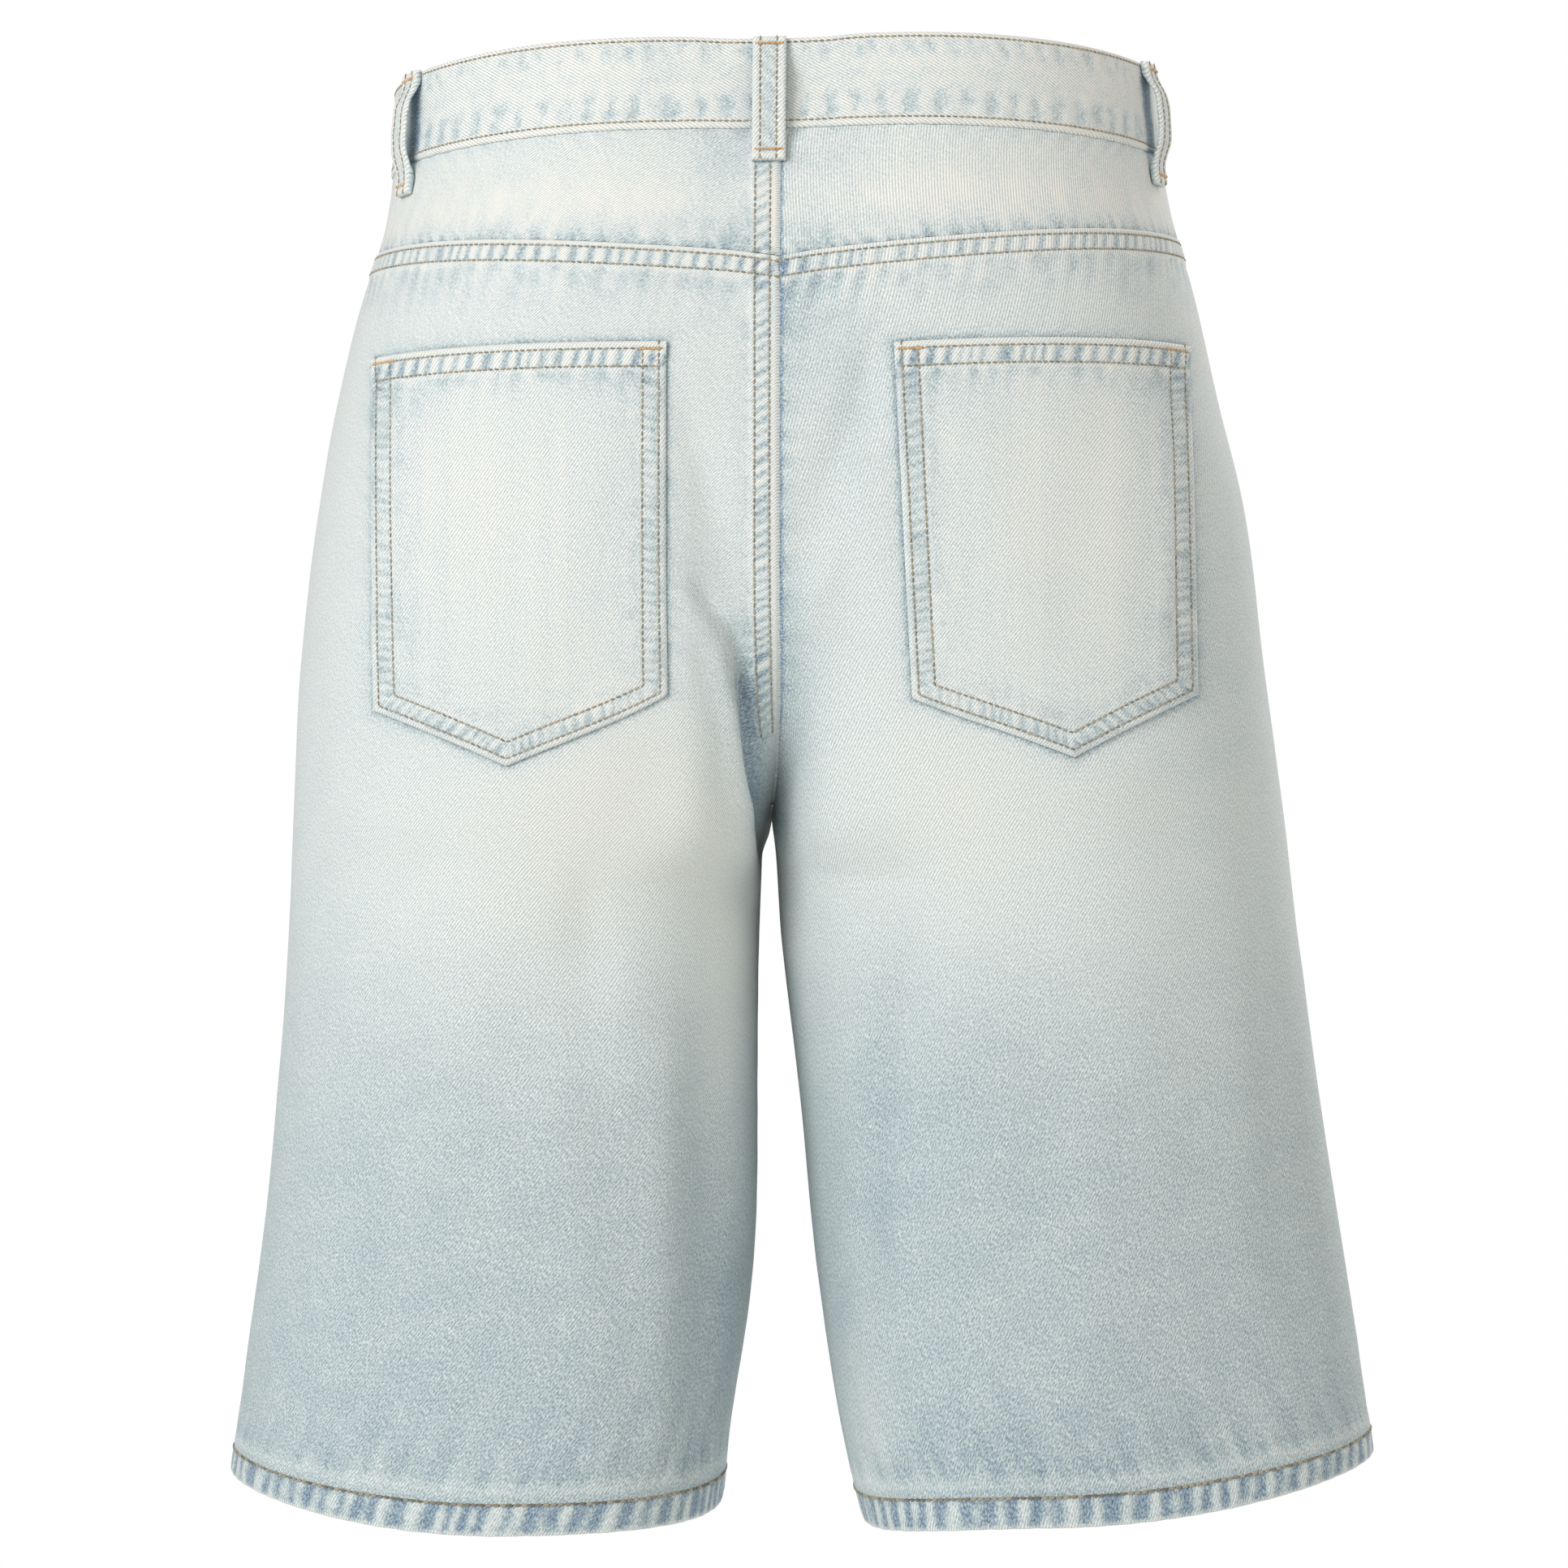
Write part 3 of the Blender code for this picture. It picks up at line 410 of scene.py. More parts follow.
def form(side, run, level):
    """The plain form of one half and its outward normals."""
    run, level = np.broadcast_arrays(np.asarray(run, float), np.asarray(level, float))
    across = base(side, run + RUN_STEP, level) - base(side, run - RUN_STEP, level)
    seat = level < CROTCH_LEVEL
    below = np.where(seat, np.minimum(level + LEVEL_STEP, CROTCH_LEVEL - 1e-6), level + LEVEL_STEP)
    above = np.where(seat, level - LEVEL_STEP, np.maximum(level - LEVEL_STEP, CROTCH_LEVEL))
    normal = np.cross(across, base(side, run, below) - base(side, run, above))
    return base(side, run, level), -normal / np.linalg.norm(normal, axis=-1, keepdims=True)


def to_world(side, centre, normal, lift):
    """Points lifted off the form of one half, (x away, y, drop), as metres in the frame."""
    points = centre + normal * lift[..., None]
    across = side * points[..., 0]
    return xyz(across, points[..., 1], BAND_RISE - points[..., 2] - SIDE_TILT * across) * 0.001


def cloth(side, run, level, lift):
    """World points of the cloth's outer face of one half, moved out by lift millimetres."""
    run, level, lift = np.broadcast_arrays(*(np.asarray(part, float) for part in (run, level, lift)))
    centre, normal = form(side, run, level)
    return to_world(side, centre, normal, fold_height(side, centre, FOLDS) + lift)


def rooted(points, tips):
    """Points with the unit directions to their tips."""
    out = tips - points
    return points, out / np.linalg.norm(out, axis=-1, keepdims=True)


# The tables of random values reach over this much of a seam, from some way before its start.
TABLE_REACH = 1600


def cells(place, count):
    """The cell of a place in a row of random values and the soft share of the way through it."""
    place = np.clip(place, 0, count - 2.001)
    cell = np.floor(place).astype(int)
    return cell, smooth_step(place - cell)


def waver(seed, pitch):
    """An uneven line through random heights from -1 to 1, a pitch apart."""
    values = np.random.default_rng(seed).uniform(-1, 1, int(TABLE_REACH / pitch) + 4)

    def at(t):
        i, part = cells((np.asarray(t, float) + 600) / pitch, len(values))
        return values[i] * (1 - part) + values[i + 1] * part

    return at


def ripple(seed, pitch):
    """Uneven ridges (+) and troughs (-) along a seam, about a pitch apart."""
    drift = waver(seed, pitch * 2.3)
    weight = waver(seed + 500, pitch * 1.4)
    odd = waver(seed + 900, pitch * 0.45)

    def at(t):
        even_part = np.sin(2 * math.pi * (t / pitch + 0.45 * drift(t))) * (0.75 + 0.25 * weight(t))
        return 0.9 * even_part + 0.3 * odd(t)

    return at


def mottle(seed, wide, high):
    """Soft uneven patches from -1 to 1 over a strip, about wide along it and high across it."""
    values = np.random.default_rng(seed).uniform(-1, 1, (int(TABLE_REACH / wide) + 4, int(120 / high) + 4))

    def at(t, d):
        i, u = cells((np.asarray(t, float) + 700) / wide, values.shape[0])
        j, v = cells((np.asarray(d, float) + 10) / high, values.shape[1])
        return (values[i, j] * (1 - u) + values[i + 1, j] * u) * (1 - v) + \
            (values[i, j + 1] * (1 - u) + values[i + 1, j + 1] * u) * v

    return at


def topstitched(along, inward, rows, seed, pitch=6.6, lean=0.2, depth=0.28, reach=9.0, contrast=1.0):
    """Lift and tint of a folded edge that is sewn down: both follow from the seam's shrinkage, apart from the painted
    shade along the rows.

    Ridges between the rows are worn white, the troughs keep their blue, and beyond the last row the cloth puckers
    away to nothing. Along each row of stitches the tint is painted shade in the dip they pull in.
    """
    lift = -0.85 * np.clip(1 - inward / 1.1, 0, 1) ** 2
    tint = -0.22 * bell(inward, 1.7)
    # Painted shade: along each row the tint darkens the dip that the stitches pull in.
    for row in rows:
        hole = bell(inward - row, 0.6)
        lift -= 0.28 * hole
        tint += 0.16 * hole
    wave = ripple(seed, pitch)(along - lean * inward)
    inside = smooth_step((inward - rows[0]) / 0.9) * smooth_step((rows[-1] - inward) / 0.9)
    lift += depth * wave * inside
    tint += (0.10 - 0.34 * np.clip(wave * 1.5, -1, 1)) * inside * contrast
    past = inward - rows[-1]
    beyond = smooth_step(past / 2.5) * fading(past, reach)
    pucker = ripple(seed + 7, pitch * 1.4)(along - lean * inward)
    broken = mottle(seed + 9, pitch * 0.7, pitch)(along + 0.4 * inward, inward)
    lift += (0.32 * pucker + 0.22 * broken) * beyond
    tint += (0.18 - 0.16 * pucker - 0.26 * broken) * beyond * contrast
    tint -= 0.12 * bell(past - 1.6, 1.2)
    return np.stack([lift, tint])


# The wash by hand and face, with some rows of painted shade and painted light: x, drop, reach across, reach down, and
# how much more or less blue.
WASH_AND_PAINTED_SHADING = {
    "left back": (
        (100, 345, 80, 60, -0.12), (60, 300, 40, 60, -0.10), (120, 180, 45, 60, -0.10),
        # Painted shade: (12, 262) and (7, 280) here and (4, 312) below darken the trench at the crotch.
        (200, 330, 34, 90, 0.05), (40, 150, 22, 45, -0.05), (12, 262, 14, 34, 0.18), (7, 280, 5, 28, 0.45),
        # Painted shade: (28, 225) darkens a crease. Painted light: (14, 400) lightens the inner thigh where it turns
        # from the lamps.
        (4, 312, 5, 18, 0.45), (28, 225, 12, 44, 0.07), (14, 400, 17, 80, -0.22), (208, 60, 36, 100, -0.08),
        # Painted shade: (20, 520) darkens the lower inner thigh.
        (120, 440, 90, 50, 0.03), (90, 560, 80, 50, 0.02), (20, 520, 20, 90, 0.10)),
    "right back": (
        (120, 350, 60, 55, -0.06), (70, 320, 40, 60, -0.10), (130, 190, 45, 60, -0.10),
        # Painted shade: (10, 270) and (1, 306) darken the trench at the crotch.
        (14, 112, 16, 34, 0.14), (34, 150, 10, 40, 0.14), (10, 270, 14, 50, 0.20), (1, 306, 4, 20, 0.5),
        (40, 575, 14, 40, -0.18), (190, 250, 30, 70, 0.09), (110, 590, 60, 24, 0.08),
        # Painted shade: (46, 445) darkens the side of a fold.
        (84, 425, 50, 60, 0.08), (215, 320, 25, 160, 0.03), (150, 470, 60, 60, 0.02), (46, 445, 9, 60, 0.09)),
    "left front": ((105, 250, 60, 90, -0.18), (20, 270, 18, 50, 0.20), (110, 440, 90, 50, 0.04)),
    "right front": ((108, 258, 60, 90, -0.18), (20, 272, 18, 50, 0.20), (116, 446, 90, 50, 0.04)),
}
# More blue, so darker cloth, the further down by the drop, before the patches.
BLUE_BY_DROP = spline((-20, 20, 60, 110, 180, 260, 330, 380, 430, 480, 540, 620),
                   (0.16, 0.16, 0.21, 0.26, 0.28, 0.28, 0.31, 0.38, 0.46, 0.52, 0.56, 0.64))


def wash_and_painted_shading(side, points):
    """How much blue is left at points of the plain form: the wash, with painted shade and painted light from some of
    the table's rows.
    """
    blue = BLUE_BY_DROP(points[..., 2])
    for (x, drop, wide, high, more), here in rows_of(side, points, WASH_AND_PAINTED_SHADING, 40):
        near = np.exp(-((points[..., 0] - x) / wide) ** 2 - ((points[..., 2] - drop) / high) ** 2)
        blue = blue + more * near * here
    return blue


# Washed cotton twill: indigo warp over a white weft. Raised lines of warp lean across the cloth;
# where the wash has rubbed them they are white, and where it hasn't they are pale to mid blue.
TWILL_PITCH = 1.14    # from line to line; finer in life, drawn to show


def calc(tree, operation, *values, **settings):
    """A maths node on up to three values."""
    return add(tree, "ShaderNodeMath", dict(enumerate(values)), operation=operation, **settings)


def span(tree, value, low, high, start, stop, **settings):
    """A value carried over from one range to another."""
    return add(tree, "ShaderNodeMapRange", {"Value": value, 1: low, 2: high, 3: start, 4: stop}, **settings)


def patches(tree, at, wide, high, **inputs):
    """Flat noise whose patches are about wide and high millimetres large."""
    scaled = add(tree, "ShaderNodeVectorMath", {0: at, 1: (1000 / wide, 1000 / high, 0)}, operation="MULTIPLY")
    return add(tree, "ShaderNodeTexNoise", {"Vector": scaled, "Scale": 1.0, **inputs}, noise_dimensions="2D")


def ramp(tree, value, *stops):
    """A ramp through hex colours, each at its place from 0 to 1."""
    made = add(tree, "ShaderNodeValToRGB", {0: value})
    line = made.color_ramp.elements
    for k in (0, -1):
        line[k].position = stops[k][0]
        line[k].color = linear(stops[k][1])
    for at, code in stops[1:-1]:
        line.new(at).color = linear(code)
    return made


# The twill reads its blue from the attribute "blue" and its grain from the map "cloth".
twill, tree = new_material("washed cotton twill")
place = add(tree, "ShaderNodeUVMap", uv_map="cloth")
turned = add(tree, "ShaderNodeMapping", {"Vector": place, "Rotation": (0, 0, -math.pi / 4)})
blue = add(tree, "ShaderNodeAttribute", attribute_name="blue").outputs["Fac"]
# Slubs: the lines drift a little along their way.
drift = patches(tree, turned, 9, 2.4, Detail=1.0)
across = add(tree, "ShaderNodeSeparateXYZ", {0: turned}).outputs[1]
phase = calc(tree, "MULTIPLY", across, 2 * math.pi * 1000 / TWILL_PITCH)
wave = calc(tree, "SINE", calc(tree, "ADD", drift, phase))
line = span(tree, wave, -1.0, 1.0, 0.0, 1.0)
# Dashes: short stretches of warp that kept or lost their colour.
dash = patches(tree, turned, 2.2, 0.7, Detail=2.0, Roughness=0.6)
cloud = patches(tree, place, 26, 15, Detail=3.0)
mottled = calc(tree, "ADD", span(tree, dash, 0.34, 0.66, -0.15, 0.15), span(tree, cloud, 0.3, 0.7, -0.04, 0.04))
lined = calc(tree, "MULTIPLY", blue, span(tree, line, 0.0, 1.0, 0.8, 1.15))
specked = calc(tree, "MULTIPLY_ADD", mottled, calc(tree, "MULTIPLY_ADD", blue, 1.1, 0.12), lined)
# Crackle: fine pale veins where the crumpled cloth rubbed in the wash.
vein = patches(tree, place, 5, 8, Detail=2.0, Distortion=0.6)
beside = calc(tree, "ABSOLUTE", calc(tree, "SUBTRACT", vein, 0.5))
rubbed = span(tree, beside, 0.0, 0.03, 0.18, 0.0, interpolation_type="SMOOTHSTEP")
amount = calc(tree, "SUBTRACT", specked, calc(tree, "MULTIPLY", rubbed, blue), use_clamp=True)
colour = ramp(tree, amount, (0, "#EFEFE9"), (0.3, "#DAE3E4"), (0.6, "#B7C7CB"), (0.8, "#9DAFBB"), (1, "#8097AE"))
# Painted shade and highlight of the threads' relief: a plain grey factor darkens the grooves between the lines and
# round the slubs, and lightens the raised lines a little, whatever the blue.
height = calc(tree, "MULTIPLY_ADD", dash, 0.4, line)
fleck_shading = span(tree, patches(tree, turned, 1.2, 0.6, Detail=0.0), 0.3, 0.7, -1.0, 0.85)
groove = span(tree, height, 0.1, 1.35, 0.65, 1.12)
both = calc(tree, "MULTIPLY_ADD", fleck_shading, calc(tree, "MULTIPLY_ADD", blue, 0.32, 0.02), groove)
shaded = add(tree, "ShaderNodeVectorMath", {0: colour, 3: both}, operation="SCALE")
surface(tree, shaded, 0.92, height, 0.5, {"Specular IOR Level": 0.25, "Sheen Weight": 0.12, "Sheen Roughness": 0.5})


def grain_uv(along, up, lean):
    """Cloth coordinates in metres, turned so that the twill lines lean by the given degrees."""
    turn = math.radians(45 - lean)
    return xyz(math.cos(turn) * along - math.sin(turn) * up, math.sin(turn) * along + math.cos(turn) * up) * 0.001


def cloth_piece(name, points, faces, uv, blue):
    """A closed piece of twill with its cloth coordinates and its blue at each point."""
    mesh = bpy.data.meshes.new(name)
    mesh.from_pydata(points.reshape(-1, 3).tolist(), [], faces)
    shape = bmesh.new()
    shape.from_mesh(mesh)
    bmesh.ops.recalc_face_normals(shape, faces=shape.faces)
    shape.to_mesh(mesh)
    shape.free()
    mesh.set_sharp_from_angle(angle=math.radians(62))
    corner = np.zeros(len(mesh.loops), int)
    mesh.loops.foreach_get("vertex_index", corner)
    mesh.uv_layers.new(name="cloth").data.foreach_set("uv", uv.reshape(-1, 2)[corner].ravel())
    mesh.attributes.new("blue", "FLOAT", "POINT").data.foreach_set("value", blue.ravel())
    mesh.polygons.foreach_set("use_smooth", [True] * len(mesh.polygons))
    return link(name, mesh, twill)


def quads(rows, cols, start=0):
    """The faces of a grid of points."""
    i, j = np.meshgrid(np.arange(rows - 1), np.arange(cols - 1), indexing="ij")
    a = (start + i * cols + j).ravel()
    return np.stack([a, a + 1, a + cols + 1, a + cols], 1)


def shell(name, outer, inner, uv, blue, inside=0.12):
    """A closed layer of cloth between an outer grid and an inner one of every second point."""
    rows, cols = outer.shape[:2]
    row_at = sorted(set(range(0, rows, 2)) | {rows - 1})
    col_at = sorted(set(range(0, cols, 2)) | {cols - 1})
    every = np.ix_(row_at, col_at)
    m, n = len(row_at), len(col_at)
    start = rows * cols
    faces = quads(rows, cols).tolist() + quads(m, n, start)[:, ::-1].tolist()
    over, under = np.arange(start).reshape(rows, cols), start + np.arange(m * n).reshape(m, n)
    for edge, below, at, turned in ((over[0], under[0], col_at, -1), (over[-1], under[-1], col_at, 1),
                                    (over[:, 0], under[:, 0], row_at, 1),
                                    (over[:, -1], under[:, -1], row_at, -1)):
        for k in range(len(at) - 1):
            face = edge[at[k]:at[k + 1] + 1].tolist() + below[[k + 1, k]].tolist()
            faces.append(face[::turned])
    under_blue = np.full((m, n), inside)
    # Painted shade: the inner layer's border points are dark blue, so each piece's cut edges read as thin dark lines
    # of shadow.
    under_blue[[0, -1], :] = under_blue[:, [0, -1]] = 0.8
    return cloth_piece(name, np.concatenate([outer.reshape(-1, 3), inner[every].reshape(-1, 3)]), faces,
                       np.concatenate([uv.reshape(-1, 2), uv[every].reshape(-1, 2)]),
                       np.concatenate([blue.ravel(), under_blue.ravel()]))


def declare(piece, node):
    """Attach a cloth piece to the root body and hide the solid it stands for."""
    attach(piece, "root")
    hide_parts(node)


def new_group(name, inputs, output):
    """A geometry nodes tree; inputs pairs a socket's name with its first value or its kind."""
    tree = bpy.data.node_groups.new(name, "GeometryNodeTree")
    for label, given in inputs.items():
        kind = given if isinstance(given, str) else {int: "Int", float: "Float"}[type(given)]
        socket = tree.interface.new_socket(label, in_out="INPUT", socket_type="NodeSocket" + kind)
        if kind != given:
            socket.default_value = given
    tree.interface.new_socket(output, in_out="OUTPUT", socket_type="NodeSocketGeometry")
    return tree, add(tree, "NodeGroupInput").outputs


def spots_along(tree, given, axis):
    """Spots a pitch apart on the path, and turns that lay the axis along it and Z outwards."""
    curve = add(tree, "GeometryNodeMeshToCurve", {"Mesh": given["Path"]})
    spots = add(tree, "GeometryNodeCurveToPoints", {"Curve": curve, "Length": given["Pitch"]}, mode="LENGTH")
    out = add(tree, "GeometryNodeInputNamedAttribute", {"Name": "out"}, data_type="FLOAT_VECTOR")
    ahead = add(tree, "FunctionNodeAlignRotationToVector", {"Vector": spots.outputs["Tangent"]}, axis=axis)
    return spots, add(tree, "FunctionNodeAlignRotationToVector", {"Rotation": ahead, "Vector": out},
                      axis="Z", pivot_axis=axis)


def dress(tree, geometry, material):
    """Give a tree's geometry its material and put it out."""
    dressed = add(tree, "GeometryNodeSetMaterial", {"Geometry": geometry, "Material": material})
    add(tree, "NodeGroupOutput", {0: dressed})


# A row of stitches: one seeded grain of thread at each pitch of a path, lying on the cloth.
stitches, given = new_group("row of stitches", {
    "Path": "Geometry", "Pitch": 0.0027, "Stitch length": 0.0024, "Thread width": 0.0006,
    "Thread height": 0.0005, "Unevenness": 0.15, "Seed": 1, "Thread": "Material"}, "Stitches")


def random_value(low, high):
    """A value for each stitch."""
    return add(stitches, "FunctionNodeRandomValue", {2: low, 3: high, "Seed": given["Seed"]},
               data_type="FLOAT").outputs[1]


spots, level = spots_along(stitches, given, "X")
grain = add(stitches, "GeometryNodeMeshUVSphere", {"Segments": 6, "Rings": 4, "Radius": 0.5})
size = add(stitches, "ShaderNodeCombineXYZ",
           {0: given["Stitch length"], 1: given["Thread width"], 2: given["Thread height"]})
vary = random_value(calc(stitches, "SUBTRACT", 1.0, given["Unevenness"]), 1.0)
scaled = add(stitches, "ShaderNodeVectorMath", {0: size, 3: vary}, operation="SCALE")
placed = add(stitches, "GeometryNodeInstanceOnPoints",
             {"Points": spots, "Instance": grain, "Rotation": level, "Scale": scaled})
skew = add(stitches, "ShaderNodeCombineXYZ", {2: random_value(-0.16, 0.16)})
spun = add(stitches, "GeometryNodeRotateInstances", {"Instances": placed, "Rotation": skew})
noted = add(stitches, "GeometryNodeStoreNamedAttribute",
            {"Geometry": spun, "Name": "tone", "Value": random_value(0.0, 1.0)},
            data_type="FLOAT", domain="INSTANCE")
whole = add(stitches, "GeometryNodeRealizeInstances", {0: noted})
dress(stitches, add(stitches, "GeometryNodeSetShadeSmooth", {0: whole}), given["Thread"])


def grown(name, paths, tree, values):
    """Run a tree along open paths of points (metres) and outward normals; returns a plain piece."""
    points, outs, edges = [], [], []
    for line, out in paths:
        first = len(points)
        points += np.asarray(line).tolist()
        outs += np.asarray(out).tolist()
        edges += [(k, k + 1) for k in range(first, len(points) - 1)]
    mesh = bpy.data.meshes.new(name)
    mesh.from_pydata(points, edges, [])
    mesh.attributes.new("out", "FLOAT_VECTOR", "POINT").data.foreach_set("vector", np.array(outs).ravel())
    item = link(name + "_path", mesh)
    work = item.modifiers.new("grow", "NODES")
    work.node_group = tree
    sockets = {s.name: s.identifier for s in tree.interface.items_tree if s.in_out == "INPUT"}
    for key, value in values.items():
        work[sockets[key]] = value
    bpy.context.view_layer.update()
    plain = bpy.data.meshes.new_from_object(item.evaluated_get(bpy.context.evaluated_depsgraph_get()))
    plain.name = name
    item.modifiers.remove(work)
    bpy.data.objects.remove(item, do_unlink=True)
    bpy.data.meshes.remove(mesh)
    return link(name, plain)


def thread_material(name, pale, dark):
    """Corespun polyester-cotton thread, matt with a slight lustre, a little uneven after washing."""
    material, tree = new_material(name)
    tone = add(tree, "ShaderNodeAttribute", attribute_name="tone").outputs["Fac"]
    place = add(tree, "ShaderNodeTexCoord").outputs["Object"]
    ply = add(tree, "ShaderNodeTexNoise", {"Vector": place, "Scale": 900.0, "Detail": 2.0})
    mixed = calc(tree, "MULTIPLY_ADD", ply, 0.5, tone, use_clamp=True)
    surface(tree, ramp(tree, mixed, (0.15, dark), (1, pale)), 0.75, ply, 0.5,
            {"Specular IOR Level": 0.3, "Sheen Weight": 0.2})
    return material


topstitch = thread_material("faded tan topstitch thread", "#A79C86", "#766D5C")
tack_thread = thread_material("orange tack thread", "#DCB88C", "#B99366")


def sew(name, paths, seed, pitch=2.7, length=2.75, width=1.1, thread=topstitch):
    """Rows of topstitching along paths on one carrier, as one piece."""
    piece = grown(name, paths, stitches,
                  {"Pitch": pitch * 0.001, "Stitch length": length * 0.001, "Thread width": width * 0.001,
                   "Thread height": width * 0.00085, "Seed": seed, "Thread": thread})
    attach(piece, "root")
    return piece


# The yokes' lower edge by the share of the way to the side seam.
YOKE_LINE = spline((0, 0.1, 0.2, 0.4, 0.6, 0.8, 1), (91.2, 87.4, 85, 80.4, 76.2, 73.5, 71))
LAP_ROWS = (2.5, 9.0)
LAP_WIDTH = 10.5
LAP_PROUD = 0.7
SEAT_ROWS = (3.0, 9.3)
SEAT_LAP_END = 328.0
SEAT_ROWS_END = 312.0
SEAM_TURNING = 1.6

# The back pockets' corners, from the top one nearer the seam: distance from the centre, level.
POCKETS = {
    "left": ((41.0, 126.2), (166.1, 123.8), (162.5, 276.8), (106.6, 306.3), (41.1, 280.2)),
    "right": ((51.8, 128.3), (174.9, 123.8), (177.1, 275.2), (125.4, 306.4), (59.4, 281.4)),
}


def pocket_lines(side):
    """Each edge of a pocket, the top one first: its first corner and its direction."""
    corner = np.array(POCKETS[HAND[side]])
    ways = np.roll(corner, -1, 0) - corner
    return list(zip(corner, ways / np.linalg.norm(ways, axis=1, keepdims=True)))


def pocket_edges(side, x, level):
    """Distance in from each of a pocket's five edges (- is outside), and the place along it."""
    return [(way[0] * (level - a[1]) - way[1] * (x - a[0]), way[0] * (x - a[0]) + way[1] * (level - a[1]))
            for a, way in pocket_lines(side)]


def lap_rise(inward):
    """The height of the doubled cloth near a lapped edge."""
    return LAP_PROUD * smooth_step((LAP_WIDTH + 1.6 - inward) / 2.6)


def seat_stitched(along, level):
    """Lift and tint of the left half's lap at the seat seam."""
    return topstitched(level, along, SEAT_ROWS, 31, pitch=5.4, lean=0.5, depth=0.25, reach=3.5)


def hem_pull(side, along, up):
    """Lift and tint just above a hem, which its stitching has pulled into leaning puckers."""
    pull = ripple(81 if side > 0 else 83, 8.5)(along + 0.3 * up)
    longer = ripple(85 if side > 0 else 87, 19.0)(along + 0.25 * up)
    near = fading(up, 9.0)
    far = fading(up, 22.0)
    start = smooth_step(up / 4.5)
    lift = (0.45 * pull * near + 0.40 * longer * far) * start + 0.45 * smooth_step((5.0 - up) / 5.0)
    blotch = mottle(89 if side > 0 else 91, 5.0, 8.0)(along, np.clip(up, 0, 100))
    worn = (-0.10 * np.clip(pull * 1.5, -1, 1) * near - 0.08 * longer * far - 0.17 * blotch * near) * start
    return np.stack([lift, -0.16 * bell(up - 1.6, 2.4) + worn])


def side_pull(inward, level, seed):
    """Lift and tint beside a plain pressed-open seam: a slight roll with small pulls."""
    inward = np.clip(inward, 0, None)
    pulls = ripple(seed, 17.0)(level)
    return np.stack([-0.5 * bell(inward, 0.9) + (0.22 + 0.12 * pulls) * np.exp(-inward / 3.2),
                     (0.10 * pulls - 0.08) * np.exp(-inward / 6.0)])


def back_look(side, along, length, level, centre):
    """Lift and blue of a back panel; along is the distance from the seat seam or inseam."""
    left = side > 0
    below = level - YOKE_LINE(along / length)
    inside = np.min([away for away, _ in pocket_edges(side, centre[..., 0], level)], axis=0)
    creases = fold_height(side, centre, CREASES) * (0.25 + 0.75 * smooth_step(-inside / 10))
    look = np.stack([creases * smooth_step((below - 8) / 20), wash_and_painted_shading(side, centre)])
    # The lap over the yoke.
    look += topstitched(along, below, LAP_ROWS, 11 if left else 23, lean=0.22 * side, reach=12.0)
    # The seat seam: the left panel laps over the right down to the crotch.
    seat = level < CROTCH_LEVEL
    fade_out = smooth_step((SEAT_LAP_END - level) / 40) * seat
    if left:
        look += seat_stitched(along, level) * fade_out
        look[0] += np.maximum(lap_rise(along) * fade_out, lap_rise(below))
    else:
        near = np.exp(-along / 4.5) * fade_out
        pulls = ripple(37, 15.0)(level)
        look[0] += 0.3 * pulls * near + lap_rise(below) - 0.8 * bell(along, 1.2) * fade_out
        # Beside the left panel's edge the right panel is bluer along the seam; the narrow line right at the edge is
        # painted shadow of that edge.
        look[1] += (0.30 + 0.22 * pulls) * near + 0.8 * bell(along, 1.3) * fade_out
    # The blue left round the pocket, where its edge kept the cloth from rubbing, and a narrow painted shadow line
    # just outside its edge.
    outside = np.clip(-inside, 0, None)
    patchy = ripple(41 if left else 43, 13.0)(centre[..., 0] + level)
    ring = np.exp(-(outside / 4.2) ** 1.3) * (0.16 + 0.10 * patchy) + 0.34 * bell(outside, 1.3)
    look[1] += ring * smooth_step(centre[..., 1] / 30)
    # The pull of the hem below, and of the side seam and inseam.
    look += hem_pull(side, along, HEM_LEVEL - HEM_HEIGHT - level)
    look += side_pull(length - along, level, 61 if left else 67)
    look += side_pull(along, level, 71 if left else 73) * ~seat
    return look[0], np.clip(look[1], 0.02, 1.0)


def to_run(share, front):
    """The run of a share of the way from a half's seam to the side seam."""
    return 1 - share / 2 if front else share / 2


def build_panel(name, side, front, rows, near, count, look, lean):
    """A panel from its rows' levels by the share from the seam; near and count set the columns."""
    length = run_length(side, np.array([row(np.array([0.5]))[0] for row in rows]), front)[:, None]
    rest = near[-1] + (length - SEAM_GAP / 2 - near[-1]) * np.linspace(0, 1, count)[None, 1:]
    share = np.concatenate([np.tile(near, (len(rows), 1)), rest], 1) / length
    level = np.array([row(share[k]) for k, row in enumerate(rows)])
    length = run_length(side, level, front)
    along = share * length
    centre, normal = form(side, to_run(share, front), level)
    folds = fold_height(side, centre, FOLDS)
    lift, blue = look(side, along, length, level, centre)
    outer = to_world(side, centre, normal, folds + lift)
    inner = to_world(side, centre, normal, folds + np.minimum(lift, 0) - CLOTH)
    if side > 0:
        # The centre seam's turning reaches over the other half's inside and keeps out the light.
        edge = level[:, 0]
        seam = edge < CROTCH_LEVEL - 4
        turn = SEAM_TURNING / run_length(-1, edge[seam], front)
        inner[seam, 0] = cloth(-1, to_run(turn, front), edge[seam], -CLOTH - SEAM_GAP)
    # The cloth is seen from outside: at the back the left panel lies to the left of its seam.
    uv = grain_uv((side if front else -side) * (along - length), -level, lean)
    return shell(name, outer, inner, uv, blue)


